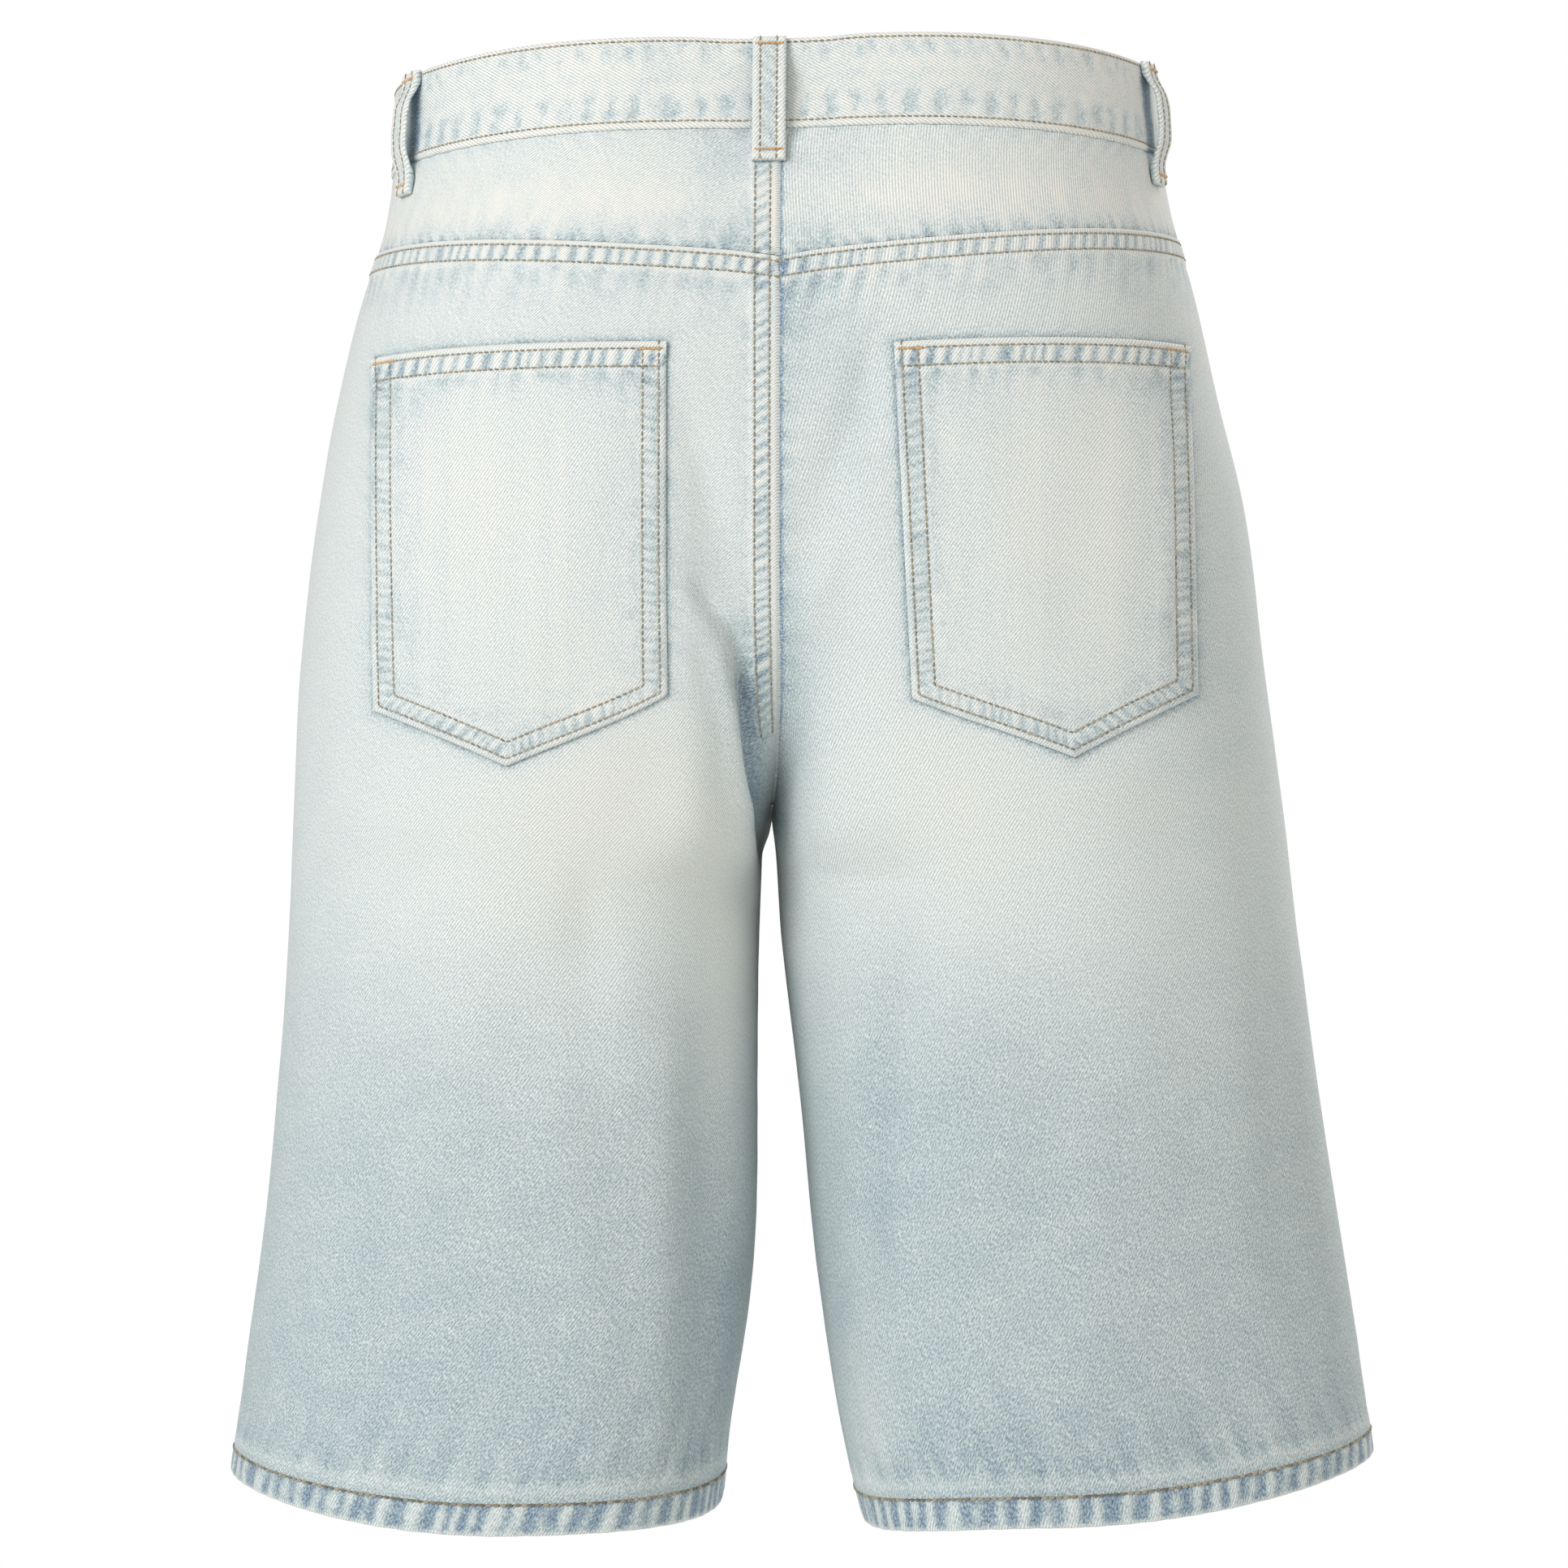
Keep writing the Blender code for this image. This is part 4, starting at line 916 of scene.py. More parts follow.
def look_path(side, front, along, level, look, raise_by=0.12):
    """A path on a panel's dressed surface: points in metres and outward normals."""
    along, level = np.broadcast_arrays(np.asarray(along, float), np.asarray(level, float))
    length = run_length(side, level, front)
    centre, normal = form(side, to_run(along / length, front), level)
    lift = fold_height(side, centre, FOLDS) + look(side, along, length, level, centre)[0] + raise_by
    return rooted(*(to_world(side, centre, normal, lift + more) for more in (0, 1)))


def even(start, stop, count):
    """Evenly spaced places, both ends included."""
    return list(np.linspace(start, stop, count))


def level_rows(top, steps, seat_count, leg_count):
    """A panel's rows: steps below its top edge, then even ones to the crotch and to the hem."""
    rows = [lambda s, d=d: top(s) + d for d in steps]
    rows += [lambda s, p=p: (top(s) + steps[-1]) * (1 - p) + CROTCH_LEVEL * p for p in even(0, 1, seat_count)[1:]]
    return rows + [lambda s, p=p: np.full(np.shape(s), CROTCH_LEVEL * (1 - p) + PANEL_FOOT * p)
                   for p in even(0, 1, leg_count)[1:]]


SEAT_COLUMNS = (0.15, 0.55, 1.1, 1.8, 2.5, 3.0, 3.5, 4.3, 5.2, 6.2, 7.2, 8.2, 8.8, 9.3, 9.8, 10.6, 11.4, 12.4, 13.6)
LAP_STEPS = (0.15, 0.5, 1.0, 1.6, 2.1, 2.5, 2.9, 3.6, 4.6, 5.8, 7.0, 8.0, 8.6, 9.0, 9.4, 10.2, 11.2, 12.4)
backs = {}
for side, hand in HAND.items():
    backs[side] = build_panel(f"back_{hand}_cloth", side, False, level_rows(YOKE_LINE, LAP_STEPS, 130, 110),
                              SEAT_COLUMNS, 172, back_look, 48 if side > 0 else 60)

share = np.linspace(0.002, 0.998, 150)
for side, hand in HAND.items():
    rows = []
    for distance in LAP_ROWS:
        level = YOKE_LINE(share) + distance
        rows.append(look_path(side, False, share * run_length(side, level, False), level, back_look))
    if side > 0:
        levels = np.linspace(92.5, SEAT_ROWS_END, 121)
        rows += [look_path(1, False, d, levels, back_look) for d in SEAT_ROWS]
    threads = sew(f"back_{hand}_topstitch", rows, 3 if side > 0 else 4)
    declare(backs[side], f"back_{hand}")

# ---------------------------------------------------------------------------------------------
# Yokes: the two shallow V-shaped pieces between the band and the back panels, cut on another
# grain. Each is joined to the other at the centre back as the panels are.
YOKE_TOP = BAND_HEIGHT + 0.15


def yoke_look(side, along, length, level, centre):
    """Lift and blue of a yoke; along is the distance from the centre back."""
    left = side > 0
    up = YOKE_LINE(along / length) - level
    down = level - BAND_HEIGHT
    streak = ripple(111 if left else 117, 7.0)(along - 0.5 * side * up)
    tuck = ripple(113 if left else 119, 12.0)(along + 0.9 * down)
    lift = -0.5 * np.exp(-up / 0.9) + 0.30 * streak * np.exp(-up / 4.0)
    lift += 0.40 * tuck * np.exp(-down / 7.0) - 0.4 * np.exp(-down / 1.0)
    blue = wash_and_painted_shading(side, centre) - 0.02
    blue += (0.34 + 0.28 * streak) * fading(up, 3.6)
    blue -= 0.22 * mottle(115, 3.4, 7.0)(along + 0.4 * up, up) * fading(up, 14.0)
    blue += (0.17 if left else 0.09) * bell(along - 22, 16)
    blue += 0.06 * mottle(123, 2.2, 6.0)(along - 0.5 * side * up, up)
    blue += (0.16 - 0.10 * tuck) * fading(down, 5.0)
    blue += 0.10 * bell(down - 15, 9.0) * np.exp(-along / 45)
    blue -= 0.10 * bell(down - 28, 10.0)
    if left:
        rise, tint = seat_stitched(along, level)
        lift += rise + lap_rise(along)
        blue += tint * 0.8
    else:
        lift -= 0.8 * bell(along, 1.2)
        # The narrow line right at the seam is painted shadow of the left yoke's folded edge.
        blue += (0.22 + 0.16 * ripple(37, 15.0)(level)) * np.exp(-along / 4.5) + 0.8 * bell(along, 1.3)
    rise, tint = side_pull(length - along, level, 121 if left else 127)
    return lift + rise, np.clip(blue + tint, 0.02, 1.0)


for side, hand in HAND.items():
    rows = [lambda s, p=p: YOKE_TOP * (1 - p) + (YOKE_LINE(s) - 0.15) * p for p in even(0, 1, 34)]
    yoke = build_panel(f"yoke_{hand}_cloth", side, False, rows, SEAT_COLUMNS, 120, yoke_look,
                       38 if side > 0 else 66)
    threads = []
    if side > 0:
        levels = np.linspace(38.5, 91, 24)
        threads = [sew("yoke_topstitch", [look_path(1, False, d, levels, yoke_look) for d in SEAT_ROWS], 5)]
    declare(yoke, f"yoke_{hand}")

# ---------------------------------------------------------------------------------------------
# Back pockets: five-cornered patches of the same twill, hemmed along the top with two rows and
# sewn down with two more, with a tack in orange thread at each upper corner.
POCKET_LIFT = 1.95
POCKET_GRID = (112, 150)
HEM_ROWS = (3.2, 10.6)
SIDE_ROWS = (3.0, 9.6)
# Slack in the pockets' bags, in the columns of the fold tables.
POCKET_CREASES = {
    "left back": ((60, 140, 100, 255, 16, 0.9), (120, 150, 96, 240, 13, -0.7), (148, 175, 140, 262, 9, 0.6)),
    "right back": ((80, 150, 108, 250, 15, 0.9), (140, 140, 122, 250, 14, -0.7), (166, 160, 160, 268, 7, 0.8)),
}


def run_at(side, away, level, front):
    """The run at which a row lies a given distance from the centre plane."""
    away, level = np.broadcast_arrays(np.asarray(away, float), np.asarray(level, float))
    low = np.zeros(level.shape)
    high = np.full(level.shape, 0.92)
    for _ in range(24):
        middle = (low + high) / 2
        short = half_points(side, middle, level, front)[0][..., 0] < away
        low = np.where(short, middle, low)
        high = np.where(short, high, middle)
    return to_run((low + high) / 2, front)


def pocket_look(side, x, level, centre):
    """Lift and blue of a back pocket, from its place inside its five edges."""
    edges = pocket_edges(side, x, level)
    corner = np.array(POCKETS[HAND[side]])
    round_at = 0.0
    inward = np.full(np.shape(x), 1e9)
    along = np.zeros(np.shape(x))
    for k in range(1, 5):
        away, place = edges[k]
        nearer = away < inward
        along = np.where(nearer, round_at + place, along)
        inward = np.where(nearer, away, inward)
        round_at += np.linalg.norm(corner[(k + 1) % 5] - corner[k])
    inward = np.clip(inward, 0, None)
    top = np.clip(edges[0][0], 0, None)
    seed = 201 if side > 0 else 231
    side_part = smooth_step((top - 3) / 6)
    look = topstitched(along, inward, SIDE_ROWS, seed, pitch=4.8, lean=0.3, depth=0.2, reach=4.0, contrast=0.6)
    look *= side_part
    look[1] *= 0.75 + 0.25 * smooth_step((top - 150) / 20)
    rise, tint = topstitched(x * side, top, HEM_ROWS, seed + 3, pitch=6.0, lean=0.22, depth=0.32, reach=6.0)
    slack = fold_height(side, centre, POCKET_CREASES) * smooth_step(inward / 14) * smooth_step((top - 12) / 10)
    look[0] += rise + 0.45 * smooth_step((11.5 - top) / 1.5) + slack
    look[1] += wash_and_painted_shading(side, centre) - 0.01 + tint * 1.15 - 0.03 * bell(inward - 30, 26)
    kept = (0.19 - 0.17 * mottle(seed + 5, 9.0, 3.0)(along, inward)) * np.exp(-inward / 16.0)
    look[1] += (kept + 0.13 * bell(top - 20, 13) * np.exp(-inward / 18.0)) * side_part
    look[1] += 0.04 * mottle(seed + 7, 3.0, 6.0)(x, level)
    return look[0], np.clip(look[1], 0.02, 1.0)


def on_pocket(side, places, more=0.12):
    """Points and outward normals on a pocket's dressed face, at places of x away and level."""
    x, level = np.array(places).T
    centre, normal = form(side, run_at(side, x, level, False), level)
    lift = fold_height(side, centre, FOLDS) + POCKET_LIFT + pocket_look(side, x, level, centre)[0] + more
    return rooted(*(to_world(side, centre, normal, lift + tip) for tip in (0, 1)))


def inset(side, top, others):
    """A pocket's corners, moved in from its top edge and from the others."""
    lines = [(a + away * np.array([-way[1], way[0]]), way)
             for (a, way), away in zip(pocket_lines(side), (top, others, others, others, others))]
    return np.array([p + u * np.linalg.solve(np.array([u, -v]).T, q - p)[0]
                     for (p, u), (q, v) in zip(lines[-1:] + lines, lines)])


def pocket_path(side, corners):
    """A path over a pocket's face from corner to corner, with a point every 2 mm or so."""
    places = []
    for a, b in zip(corners, corners[1:]):
        count = max(2, int(np.linalg.norm(b - a) / 2))
        places += [a + (b - a) * t for t in np.linspace(0, 1, count, endpoint=False)]
    return on_pocket(side, places + [corners[-1]])


def tacks(name, bars, seed):
    """Bar tacks: a band of close stitches across each bar, given as its two ends and a normal."""
    paths = [(np.array([a, (a + b) / 2, b]), np.array([out] * 3)) for a, b, out in bars]
    return sew(name, paths, seed, pitch=0.62, length=0.75, width=1.5, thread=tack_thread)


for side, hand in HAND.items():
    top_in, top_out, low_out, tip, low_in = np.array(POCKETS[hand])
    tip_part = (tip[0] - low_in[0]) / (low_out[0] - low_in[0])
    parts = np.linspace(0, 1, POCKET_GRID[0])
    parts[np.argmin(np.abs(parts - tip_part))] = tip_part
    part, down = np.meshgrid(parts, np.linspace(0, 1, POCKET_GRID[1]))
    x, level = ((top_in[k] + (top_out[k] - top_in[k]) * part) * (1 - down)
                + np.interp(part, (0, tip_part, 1), (low_in[k], tip[k], low_out[k])) * down for k in (0, 1))
    centre, normal = form(side, run_at(side, x, level, False), level)
    lift, blue = pocket_look(side, x, level, centre)
    place = fold_height(side, centre, FOLDS) + POCKET_LIFT
    pocket = shell(f"back_pocket_{hand}_cloth", to_world(side, centre, normal, place + lift),
                   to_world(side, centre, normal, place - CLOTH + np.minimum(lift, 0) * 0.3),
                   grain_uv(-side * x, -level, 55), blue)
    first, last, outer, inner = (inset(side, top, others) for top, others in (
        (HEM_ROWS[0], SIDE_ROWS[0]), (HEM_ROWS[1], SIDE_ROWS[0]), (0.6, SIDE_ROWS[0]), (HEM_ROWS[0], SIDE_ROWS[1])))
    down_and_up = [1, 2, 3, 4, 0]
    rows = (first[:2], last[:2], outer[down_and_up], inner[down_and_up])
    threads = sew(f"back_pocket_{hand}_topstitch", [pocket_path(side, row) for row in rows], 6 if side > 0 else 7)
    bars = []
    for corner, way in ((first[0], 1), (first[1], -1)):
        ends, outs = on_pocket(side, [corner - (way, 0), corner + (way * 8.5, 0)], more=0.3)
        bars.append((ends[0], ends[1], outs[0]))
    tack = tacks(f"back_pocket_{hand}_tacks", bars, 8)
    declare(pocket, f"back_pocket_{hand}")

# ---------------------------------------------------------------------------------------------
# Front leg panels: one layer each, with a scooped pocket mouth under the band. The left front's
# edge laps over the right; two rows run down the fly in a J and two down the front rise.
MOUTH_DEPTH = 78.0
MOUTH_REACH = 0.5
MOUTH_ROWS = (2.5, 9.0)
MOUTH_STEPS = (0.0, 0.5, 1.0, 1.7, 2.5, 3.3, 4.4, 5.6, 6.8, 8.0, 9.0, 10.0)
FLY_ROWS = (33.0, 39.0)
FLY_TOP = 39.0
FLY_TURN = 128.0
FLY_FOOT = 168.0
FRONT_COLUMNS = (0.15, 0.6, 1.2, 2.1, 3.0, 3.9, 5.2, 6.8, 8.2, 9.3, 10.4, 11.8, 13.4)


def mouth_level(share):
    """The level of a front's top edge, by the share of the way from centre front to side."""
    into = np.clip((share - (1 - MOUTH_REACH)) / MOUTH_REACH, 0, 1)
    return BAND_HEIGHT + 0.5 + MOUTH_DEPTH * np.sin(into * math.pi / 2)


def mouth_line(side):
    """The scooped mouth as places from the centre front and levels."""
    share = np.linspace(1 - MOUTH_REACH, 1, 60)
    level = mouth_level(share)
    return xyz(share * run_length(side, level, True), level)


def mouth_inward(side, along, level):
    """Distance in from the scooped mouth, and the place along it."""
    line = mouth_line(side)
    place = np.concatenate([[0], np.cumsum(np.linalg.norm(np.diff(line, axis=0), axis=1))])
    gap = np.hypot(along[..., None] - line[:, 0], level[..., None] - line[:, 1])
    nearest = np.argmin(gap, -1)
    return np.take_along_axis(gap, nearest[..., None], -1)[..., 0], place[nearest]


def fly_out(along, level):
    """Distance outside the fly's outer row of stitching, a straight run that turns in below."""
    drop = np.clip(level - FLY_TURN, 0, None)
    reach, fall = FLY_ROWS[1], FLY_FOOT - FLY_TURN
    scaled = np.hypot(along / reach, drop / fall)
    slope = np.hypot(reach * drop / fall, fall * along / reach + 1e-6)
    curved = (scaled - 1) * (reach * fall) / slope * scaled
    return np.where(level > FLY_TURN, np.clip(curved, -60, 60), along - reach)


def front_look(side, along, length, level, centre):
    """Lift and blue of a front panel; along is the distance from the front seam or inseam."""
    left = side > 0
    down = level - BAND_HEIGHT
    look = np.stack([fold_height(side, centre, CREASES) * smooth_step((down - 25) / 20), wash_and_painted_shading(side, centre)])
    tuck = ripple(311 if left else 313, 12.0)(along + 0.9 * down)
    look += np.stack([0.35 * tuck - 0.3, 0.18 - 0.12 * tuck]) * fading(down, 6.0) \
        * smooth_step((0.55 * length - along) / 20)
    near, place = mouth_inward(side, along, level)
    look += topstitched(place, near, MOUTH_ROWS, 321 if left else 323, reach=8.0) * smooth_step((40 - near) / 10)
    seat = level < CROTCH_LEVEL
    low = smooth_step((SEAT_LAP_END - level) / 40) * seat
    if left:
        rise, tint = topstitched(level, along, SEAT_ROWS, 331, pitch=9.5, lean=0.9, depth=0.18, reach=3.5)
        below_fly = smooth_step((level - FLY_FOOT - 2) / 6)
        out = fly_out(along, level)
        wave = ripple(341, 8.0)(level + along * 0.4)
        hill = bell(out + 3, 3.4)
        look[0] += (rise * below_fly + lap_rise(along)
                    + 0.45 * hill - 0.26 * bell(out, 0.7) - 0.26 * bell(out + 6, 0.7)) * low
        look[1] += (tint * 0.7 * below_fly + (0.10 - 0.30 * wave) * hill
                    + (0.14 + 0.12 * wave) * fading(out, 5) * (out > 0)) * low
    else:
        look[1] += (0.25 + 0.2 * ripple(343, 15.0)(level)) * np.exp(-along / 4.5) * low
    look += hem_pull(side, -along, HEM_LEVEL - HEM_HEIGHT - level)
    look += side_pull(length - along, level, 61 if left else 67) * smooth_step((level - 118) / 6)
    look += side_pull(along, level, 371 if left else 373) * ~seat
    return look[0], np.clip(look[1], 0.02, 1.0)


fronts = {}
for side, hand in HAND.items():
    fronts[side] = build_panel(f"front_{hand}_cloth", side, True, level_rows(mouth_level, MOUTH_STEPS, 96, 86),
                               FRONT_COLUMNS, 128, front_look, 52 if side > 0 else 56)

for side, hand in HAND.items():
    line = mouth_line(side)
    way = np.gradient(line, axis=0)
    way /= np.linalg.norm(way, axis=1, keepdims=True)
    places = [line + distance * xyz(-way[:, 1], way[:, 0]) for distance in MOUTH_ROWS]
    places = [place[place[:, 1] > BAND_HEIGHT + 0.6] for place in places]
    if side > 0:
        for reach in FLY_ROWS:
            fall = FLY_FOOT - FLY_TURN - (FLY_ROWS[1] - reach)
            bend = np.linspace(0, math.pi / 2 - 0.05, 24)
            across = np.concatenate([np.full(40, reach), reach * np.cos(bend[1:])])
            places.append(xyz(across, np.concatenate([np.linspace(FLY_TOP, FLY_TURN, 40),
                                                      FLY_TURN + fall * np.sin(bend[1:])])))
        levels = np.linspace(FLY_FOOT + 3, SEAT_ROWS_END, 70)
        places += [xyz(np.full(70, distance), levels) for distance in SEAT_ROWS]
    rows = [look_path(side, True, place[:, 0], place[:, 1], front_look) for place in places]
    threads = sew(f"front_{hand}_topstitch", rows, 9 if side > 0 else 10)
    declare(fronts[side], f"front_{hand}")

# ---------------------------------------------------------------------------------------------
# Front pocket bearers: the facing pieces seen in the scooped mouths, the same twill.
# Each is sewn under the front's edge and ends with it at the side seam.
shares = np.linspace(0.44, 1, 70)
for side, hand in HAND.items():
    down = np.linspace(0, 1, 46)[:, None]
    level = (BAND_HEIGHT - 1.5) * (1 - down) + (mouth_level(shares) + 22) * down
    length = run_length(side, level, True)
    run = to_run(np.minimum(shares, 1 - SEAM_GAP / 2 / length), True)
    near = np.clip(level - mouth_level(shares) + 10, 0, 12) / 12
    tuck = ripple(401 if side > 0 else 403, 11.0)(shares * length + level)
    bearer = shell(f"pocket_bearer_{hand}_cloth", cloth(side, run, level, -2.0 + 0.25 * tuck * (1 - near)),
                   cloth(side, run, level, -3.0), grain_uv(side * (1 - run) * 2 * length, -level, 50),
                   np.clip(0.50 - 0.12 * tuck + 0.12 * near, 0, 1))
    declare(bearer, f"pocket_bearer_{hand}")

# ---------------------------------------------------------------------------------------------
# The fly: a facing behind the left front, a zip on woven cotton tapes, and a doubled shield.
# The teeth are nickel-plated and lie in one line down the tapes.
FACING_TURN = 130.0
SHIELD_FOOT = 172.0
TAPE_LEVELS = (40, 158)
TEETH_LEVELS = (58, 154)
TEETH_ASIDE = 5.0
TEETH_DEPTH = 4.75


def strip(name, edges, levels, sinks, thick, columns, blue=0.0, lean=50):
    """A strip behind the centre front; edges gives places across by level, sinks their depths."""
    fine = np.linspace(0, 1, columns)
    knots = np.linspace(0, 1, len(sinks))
    sink = np.interp(fine, knots, sinks)
    place = np.array([np.interp(fine, knots, edges(level)) for level in levels])
    outer, inner = np.zeros((2, len(levels), columns, 3))
    for k, level in enumerate(levels):
        for side in (1, -1):
            here = (place[k] > SEAT_AT["x"](level)) == (side > 0)
            if here.any():
                run = run_at(side, side * place[k, here], level, True)
                outer[k, here] = cloth(side, run, level, -sink[here])
                inner[k, here] = cloth(side, run, level, -sink[here] - thick)
    down = np.tile(-np.array(levels)[:, None], (1, columns))
    return shell(name, outer, inner, grain_uv(place, down, lean), np.full(place.shape, blue), inside=0.3)


def facing_edges(level):
    """The facing's places across, which round in to its foot."""
    past = max(0.0, (level - FACING_TURN) / (FLY_FOOT + 1 - FACING_TURN))
    return even(-3.5, -3.5 + 38.0 * math.sqrt(1 - past ** 2), 7)


levels = even(FLY_TOP, FACING_TURN, 30) + even(FACING_TURN, FLY_FOOT, 24)[1:]
facing = strip("fly_facing_cloth", facing_edges, levels, [1.9] * 7, 0.9, 22, 0.35)
declare(facing, "fly_facing")
shield = strip("fly_shield_cloth", lambda level: (-14.0, -8.0, -2.0, 4.0, 20.0, 36.0),
               even(FLY_TOP, SHIELD_FOOT, 50), (3.1, 4.4, 6.4, 6.7, 6.7, 6.7), 1.6, 26, 0.38)
declare(shield, "fly_shield")

# Woven cotton tape: a fine flat weave, a little grey from washing.
tape_cloth, tree = new_material("woven cotton zip tape")
place = add(tree, "ShaderNodeUVMap", uv_map="cloth")
weave = add(tree, "ShaderNodeTexChecker", {"Vector": place, "Scale": 1600.0,
                                           "Color1": linear("#C9C5B6"), "Color2": linear("#A9A594")})
surface(tree, weave, 0.85, weave.outputs["Fac"], 0.4)
tape = strip("zip_tape_cloth", lambda level: (-15.0, -9.0, -4.0, 1.0, 14.0), even(*TAPE_LEVELS, 50),
             (1.7, 2.8, 4.6, 5.3, 5.3), 0.7, 22, lean=45)
tape.data.materials[0] = tape_cloth

# Nickel-plated brass, rubbed: bright, slightly warm, with fine scratches.
nickel, tree = new_material("rubbed nickel plate")
place = add(tree, "ShaderNodeTexCoord").outputs["Object"]
scratch = add(tree, "ShaderNodeTexNoise", {"Vector": place, "Scale": 700.0, "Detail": 3.0})
surface(tree, ramp(tree, scratch, (0, "#B4AFA5"), (1, "#D9D5CC")), span(tree, scratch, 0.3, 0.7, 0.22, 0.42),
        scratch, 0.15, {"Metallic": 1.0})

# The teeth: a small moulded block at each pitch of the zip's line, left and right in turn.
tree, given = new_group("zip teeth", {"Path": "Geometry", "Pitch": 0.00125, "Tooth width": 0.003,
                                      "Tooth height": 0.0007, "Tooth depth": 0.0016, "Metal": "Material"}, "Teeth")
spots, turns = spots_along(tree, given, "Y")
size = add(tree, "ShaderNodeCombineXYZ", {0: given["Tooth width"], 1: given["Tooth height"], 2: given["Tooth depth"]})
block = add(tree, "GeometryNodeMeshCube", {"Size": size})
odd = calc(tree, "MODULO", add(tree, "GeometryNodeInputIndex"), 2.0)
aside = add(tree, "ShaderNodeCombineXYZ", {0: calc(tree, "MULTIPLY_ADD", odd, 0.0012, -0.0006)})
placed = add(tree, "GeometryNodeInstanceOnPoints", {"Points": spots, "Instance": block, "Rotation": turns})
shifted = add(tree, "GeometryNodeTranslateInstances", {"Instances": placed, "Translation": aside})
dress(tree, add(tree, "GeometryNodeRealizeInstances", {0: shifted}), given["Metal"])

levels = np.linspace(*TEETH_LEVELS, 60)
run = run_at(1, TEETH_ASIDE, levels, True)
line = rooted(*(cloth(1, run, levels, more - TEETH_DEPTH) for more in (0, 1)))
teeth = grown("zip_teeth", [line], tree, {"Metal": nickel})
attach(teeth, "root")
declare(tape, "zip_tape")

# ---------------------------------------------------------------------------------------------
# Hems: the leg's foot turned up twice and sewn with one row in a darker, twisted thread. Washing
# pulls the fold into rope-like slanted ridges, worn white, with blue between them.
HEM_ROW = 11.0
HEM_MIDDLE = 592.0
HEM_COLUMNS = 460
# The fold's section as level above the edge and lift: down the face, round the edge, up inside.
HEM_FACE = ((11.05, -0.15), (10.7, 0.30), (10.2, 0.52), *((d, 0.58) for d in even(9.2, 2.0, 8)),
            (1.2, 0.50), (0.6, 0.22), (0.2, -0.15), (0.0, -0.75))
HEM_INSIDE = ((0.2, -1.40), (0.8, -1.85), (2.0, -2.08), (5.0, -2.1), (8.0, -2.1), (11.0, -2.1), (13.2, -2.1),
              (13.9, -1.95), (14.0, -1.6), (13.6, -1.34), (11.4, -1.28))
hem_thread = thread_material("grey-brown hem thread", "#A29A88", "#5F5A4F")


def tube(name, points, uv, blue, ring):
    """A closed skin over sections that run round; ring joins its last column to its first."""
    rows, cols = points.shape[:2]
    i, j = np.meshgrid(np.arange(rows), np.arange(cols if ring else cols - 1), indexing="ij")
    i2, j2 = (i + 1) % rows, (j + 1) % cols
    faces = np.stack([i * cols + j, i * cols + j2, i2 * cols + j2, i2 * cols + j], -1).reshape(-1, 4).tolist()
    for col in () if ring else (0, cols - 1):
        faces += [[row * cols + col for row in (k, k + 1, rows - 2 - k, rows - 1 - k)]
                  for k in range(rows // 2 - 1)]
    return cloth_piece(name, points, faces, uv, blue)


def way_round(run, back, front):
    """The way round from run 0, by the lengths of a section's back and front."""
    return np.where(run < 0.5, run * 2 * back, back + (run - 0.5) * 2 * front)


face = np.array(HEM_FACE + HEM_INSIDE)
on_face = (np.arange(len(face)) < len(HEM_FACE))[:, None]
up = np.tile(face[:, :1], (1, HEM_COLUMNS))
run = np.tile(np.arange(HEM_COLUMNS) / HEM_COLUMNS, (len(face), 1))
for side, hand in HAND.items():
    back, front = (length[0] for length in both_lengths(side, np.array([HEM_MIDDLE])))
    way = way_round(run, back, front)
    closing = smooth_step((back + front - way) / 12) * smooth_step(way / 12)
    rope = ripple(501 if side > 0 else 503, 9.8)(way + 0.22 * side * up) * closing
    twist = ripple(507 if side > 0 else 509, 21.0)(way + 1.2 * 0.22 * side * up) * closing
    window = smooth_step((up - 0.4) / 3) * smooth_step((10.8 - up) / 1.5) * on_face
    edge_wave = (0.32 * rope + 0.25 * twist) * (1 - smooth_step(up / 9)) * closing
    lift = face[:, 1:] + (0.36 * rope + 0.16 * twist) * window + 0.12 * edge_wave
    points = cloth(side, run, HEM_LEVEL - up + 0.35 * edge_wave, lift)
    blotch = mottle(511 if side > 0 else 513, 3.0, 4.0)(way, up)
    blue = 0.66 - 0.30 * np.clip(rope * 1.5 + 0.5 * twist + 0.7 * blotch - 0.1, -1, 1)
    blue = np.where(on_face, blue * (0.35 + 0.65 * smooth_step(up / 2.5)), 0.22)
    blue = np.clip(blue + 0.10 * (up > 10.0) * on_face, 0.03, 1)
    hem = tube(f"hem_{hand}_fold", points, grain_uv(-side * way, up, 60), blue, True)
    runs = np.linspace(0, 1, HEM_COLUMNS + 1)
    row = rooted(*(cloth(side, runs, HEM_LEVEL - HEM_ROW + 0.15, rise) for rise in (0.42, 1.42)))
    threads = sew(f"hem_{hand}_topstitch", [row], 13 if side > 0 else 14, pitch=3.0, length=3.3, width=1.9,
                  thread=hem_thread)
    declare(hem, f"hem_{hand}")

# ---------------------------------------------------------------------------------------------
# Waistband: one straight strip of twill folded along its top and sewn over the yokes and fronts
# with a row near each edge. Its right end passes under its left end behind the button.
BAND_THICK = 2.4
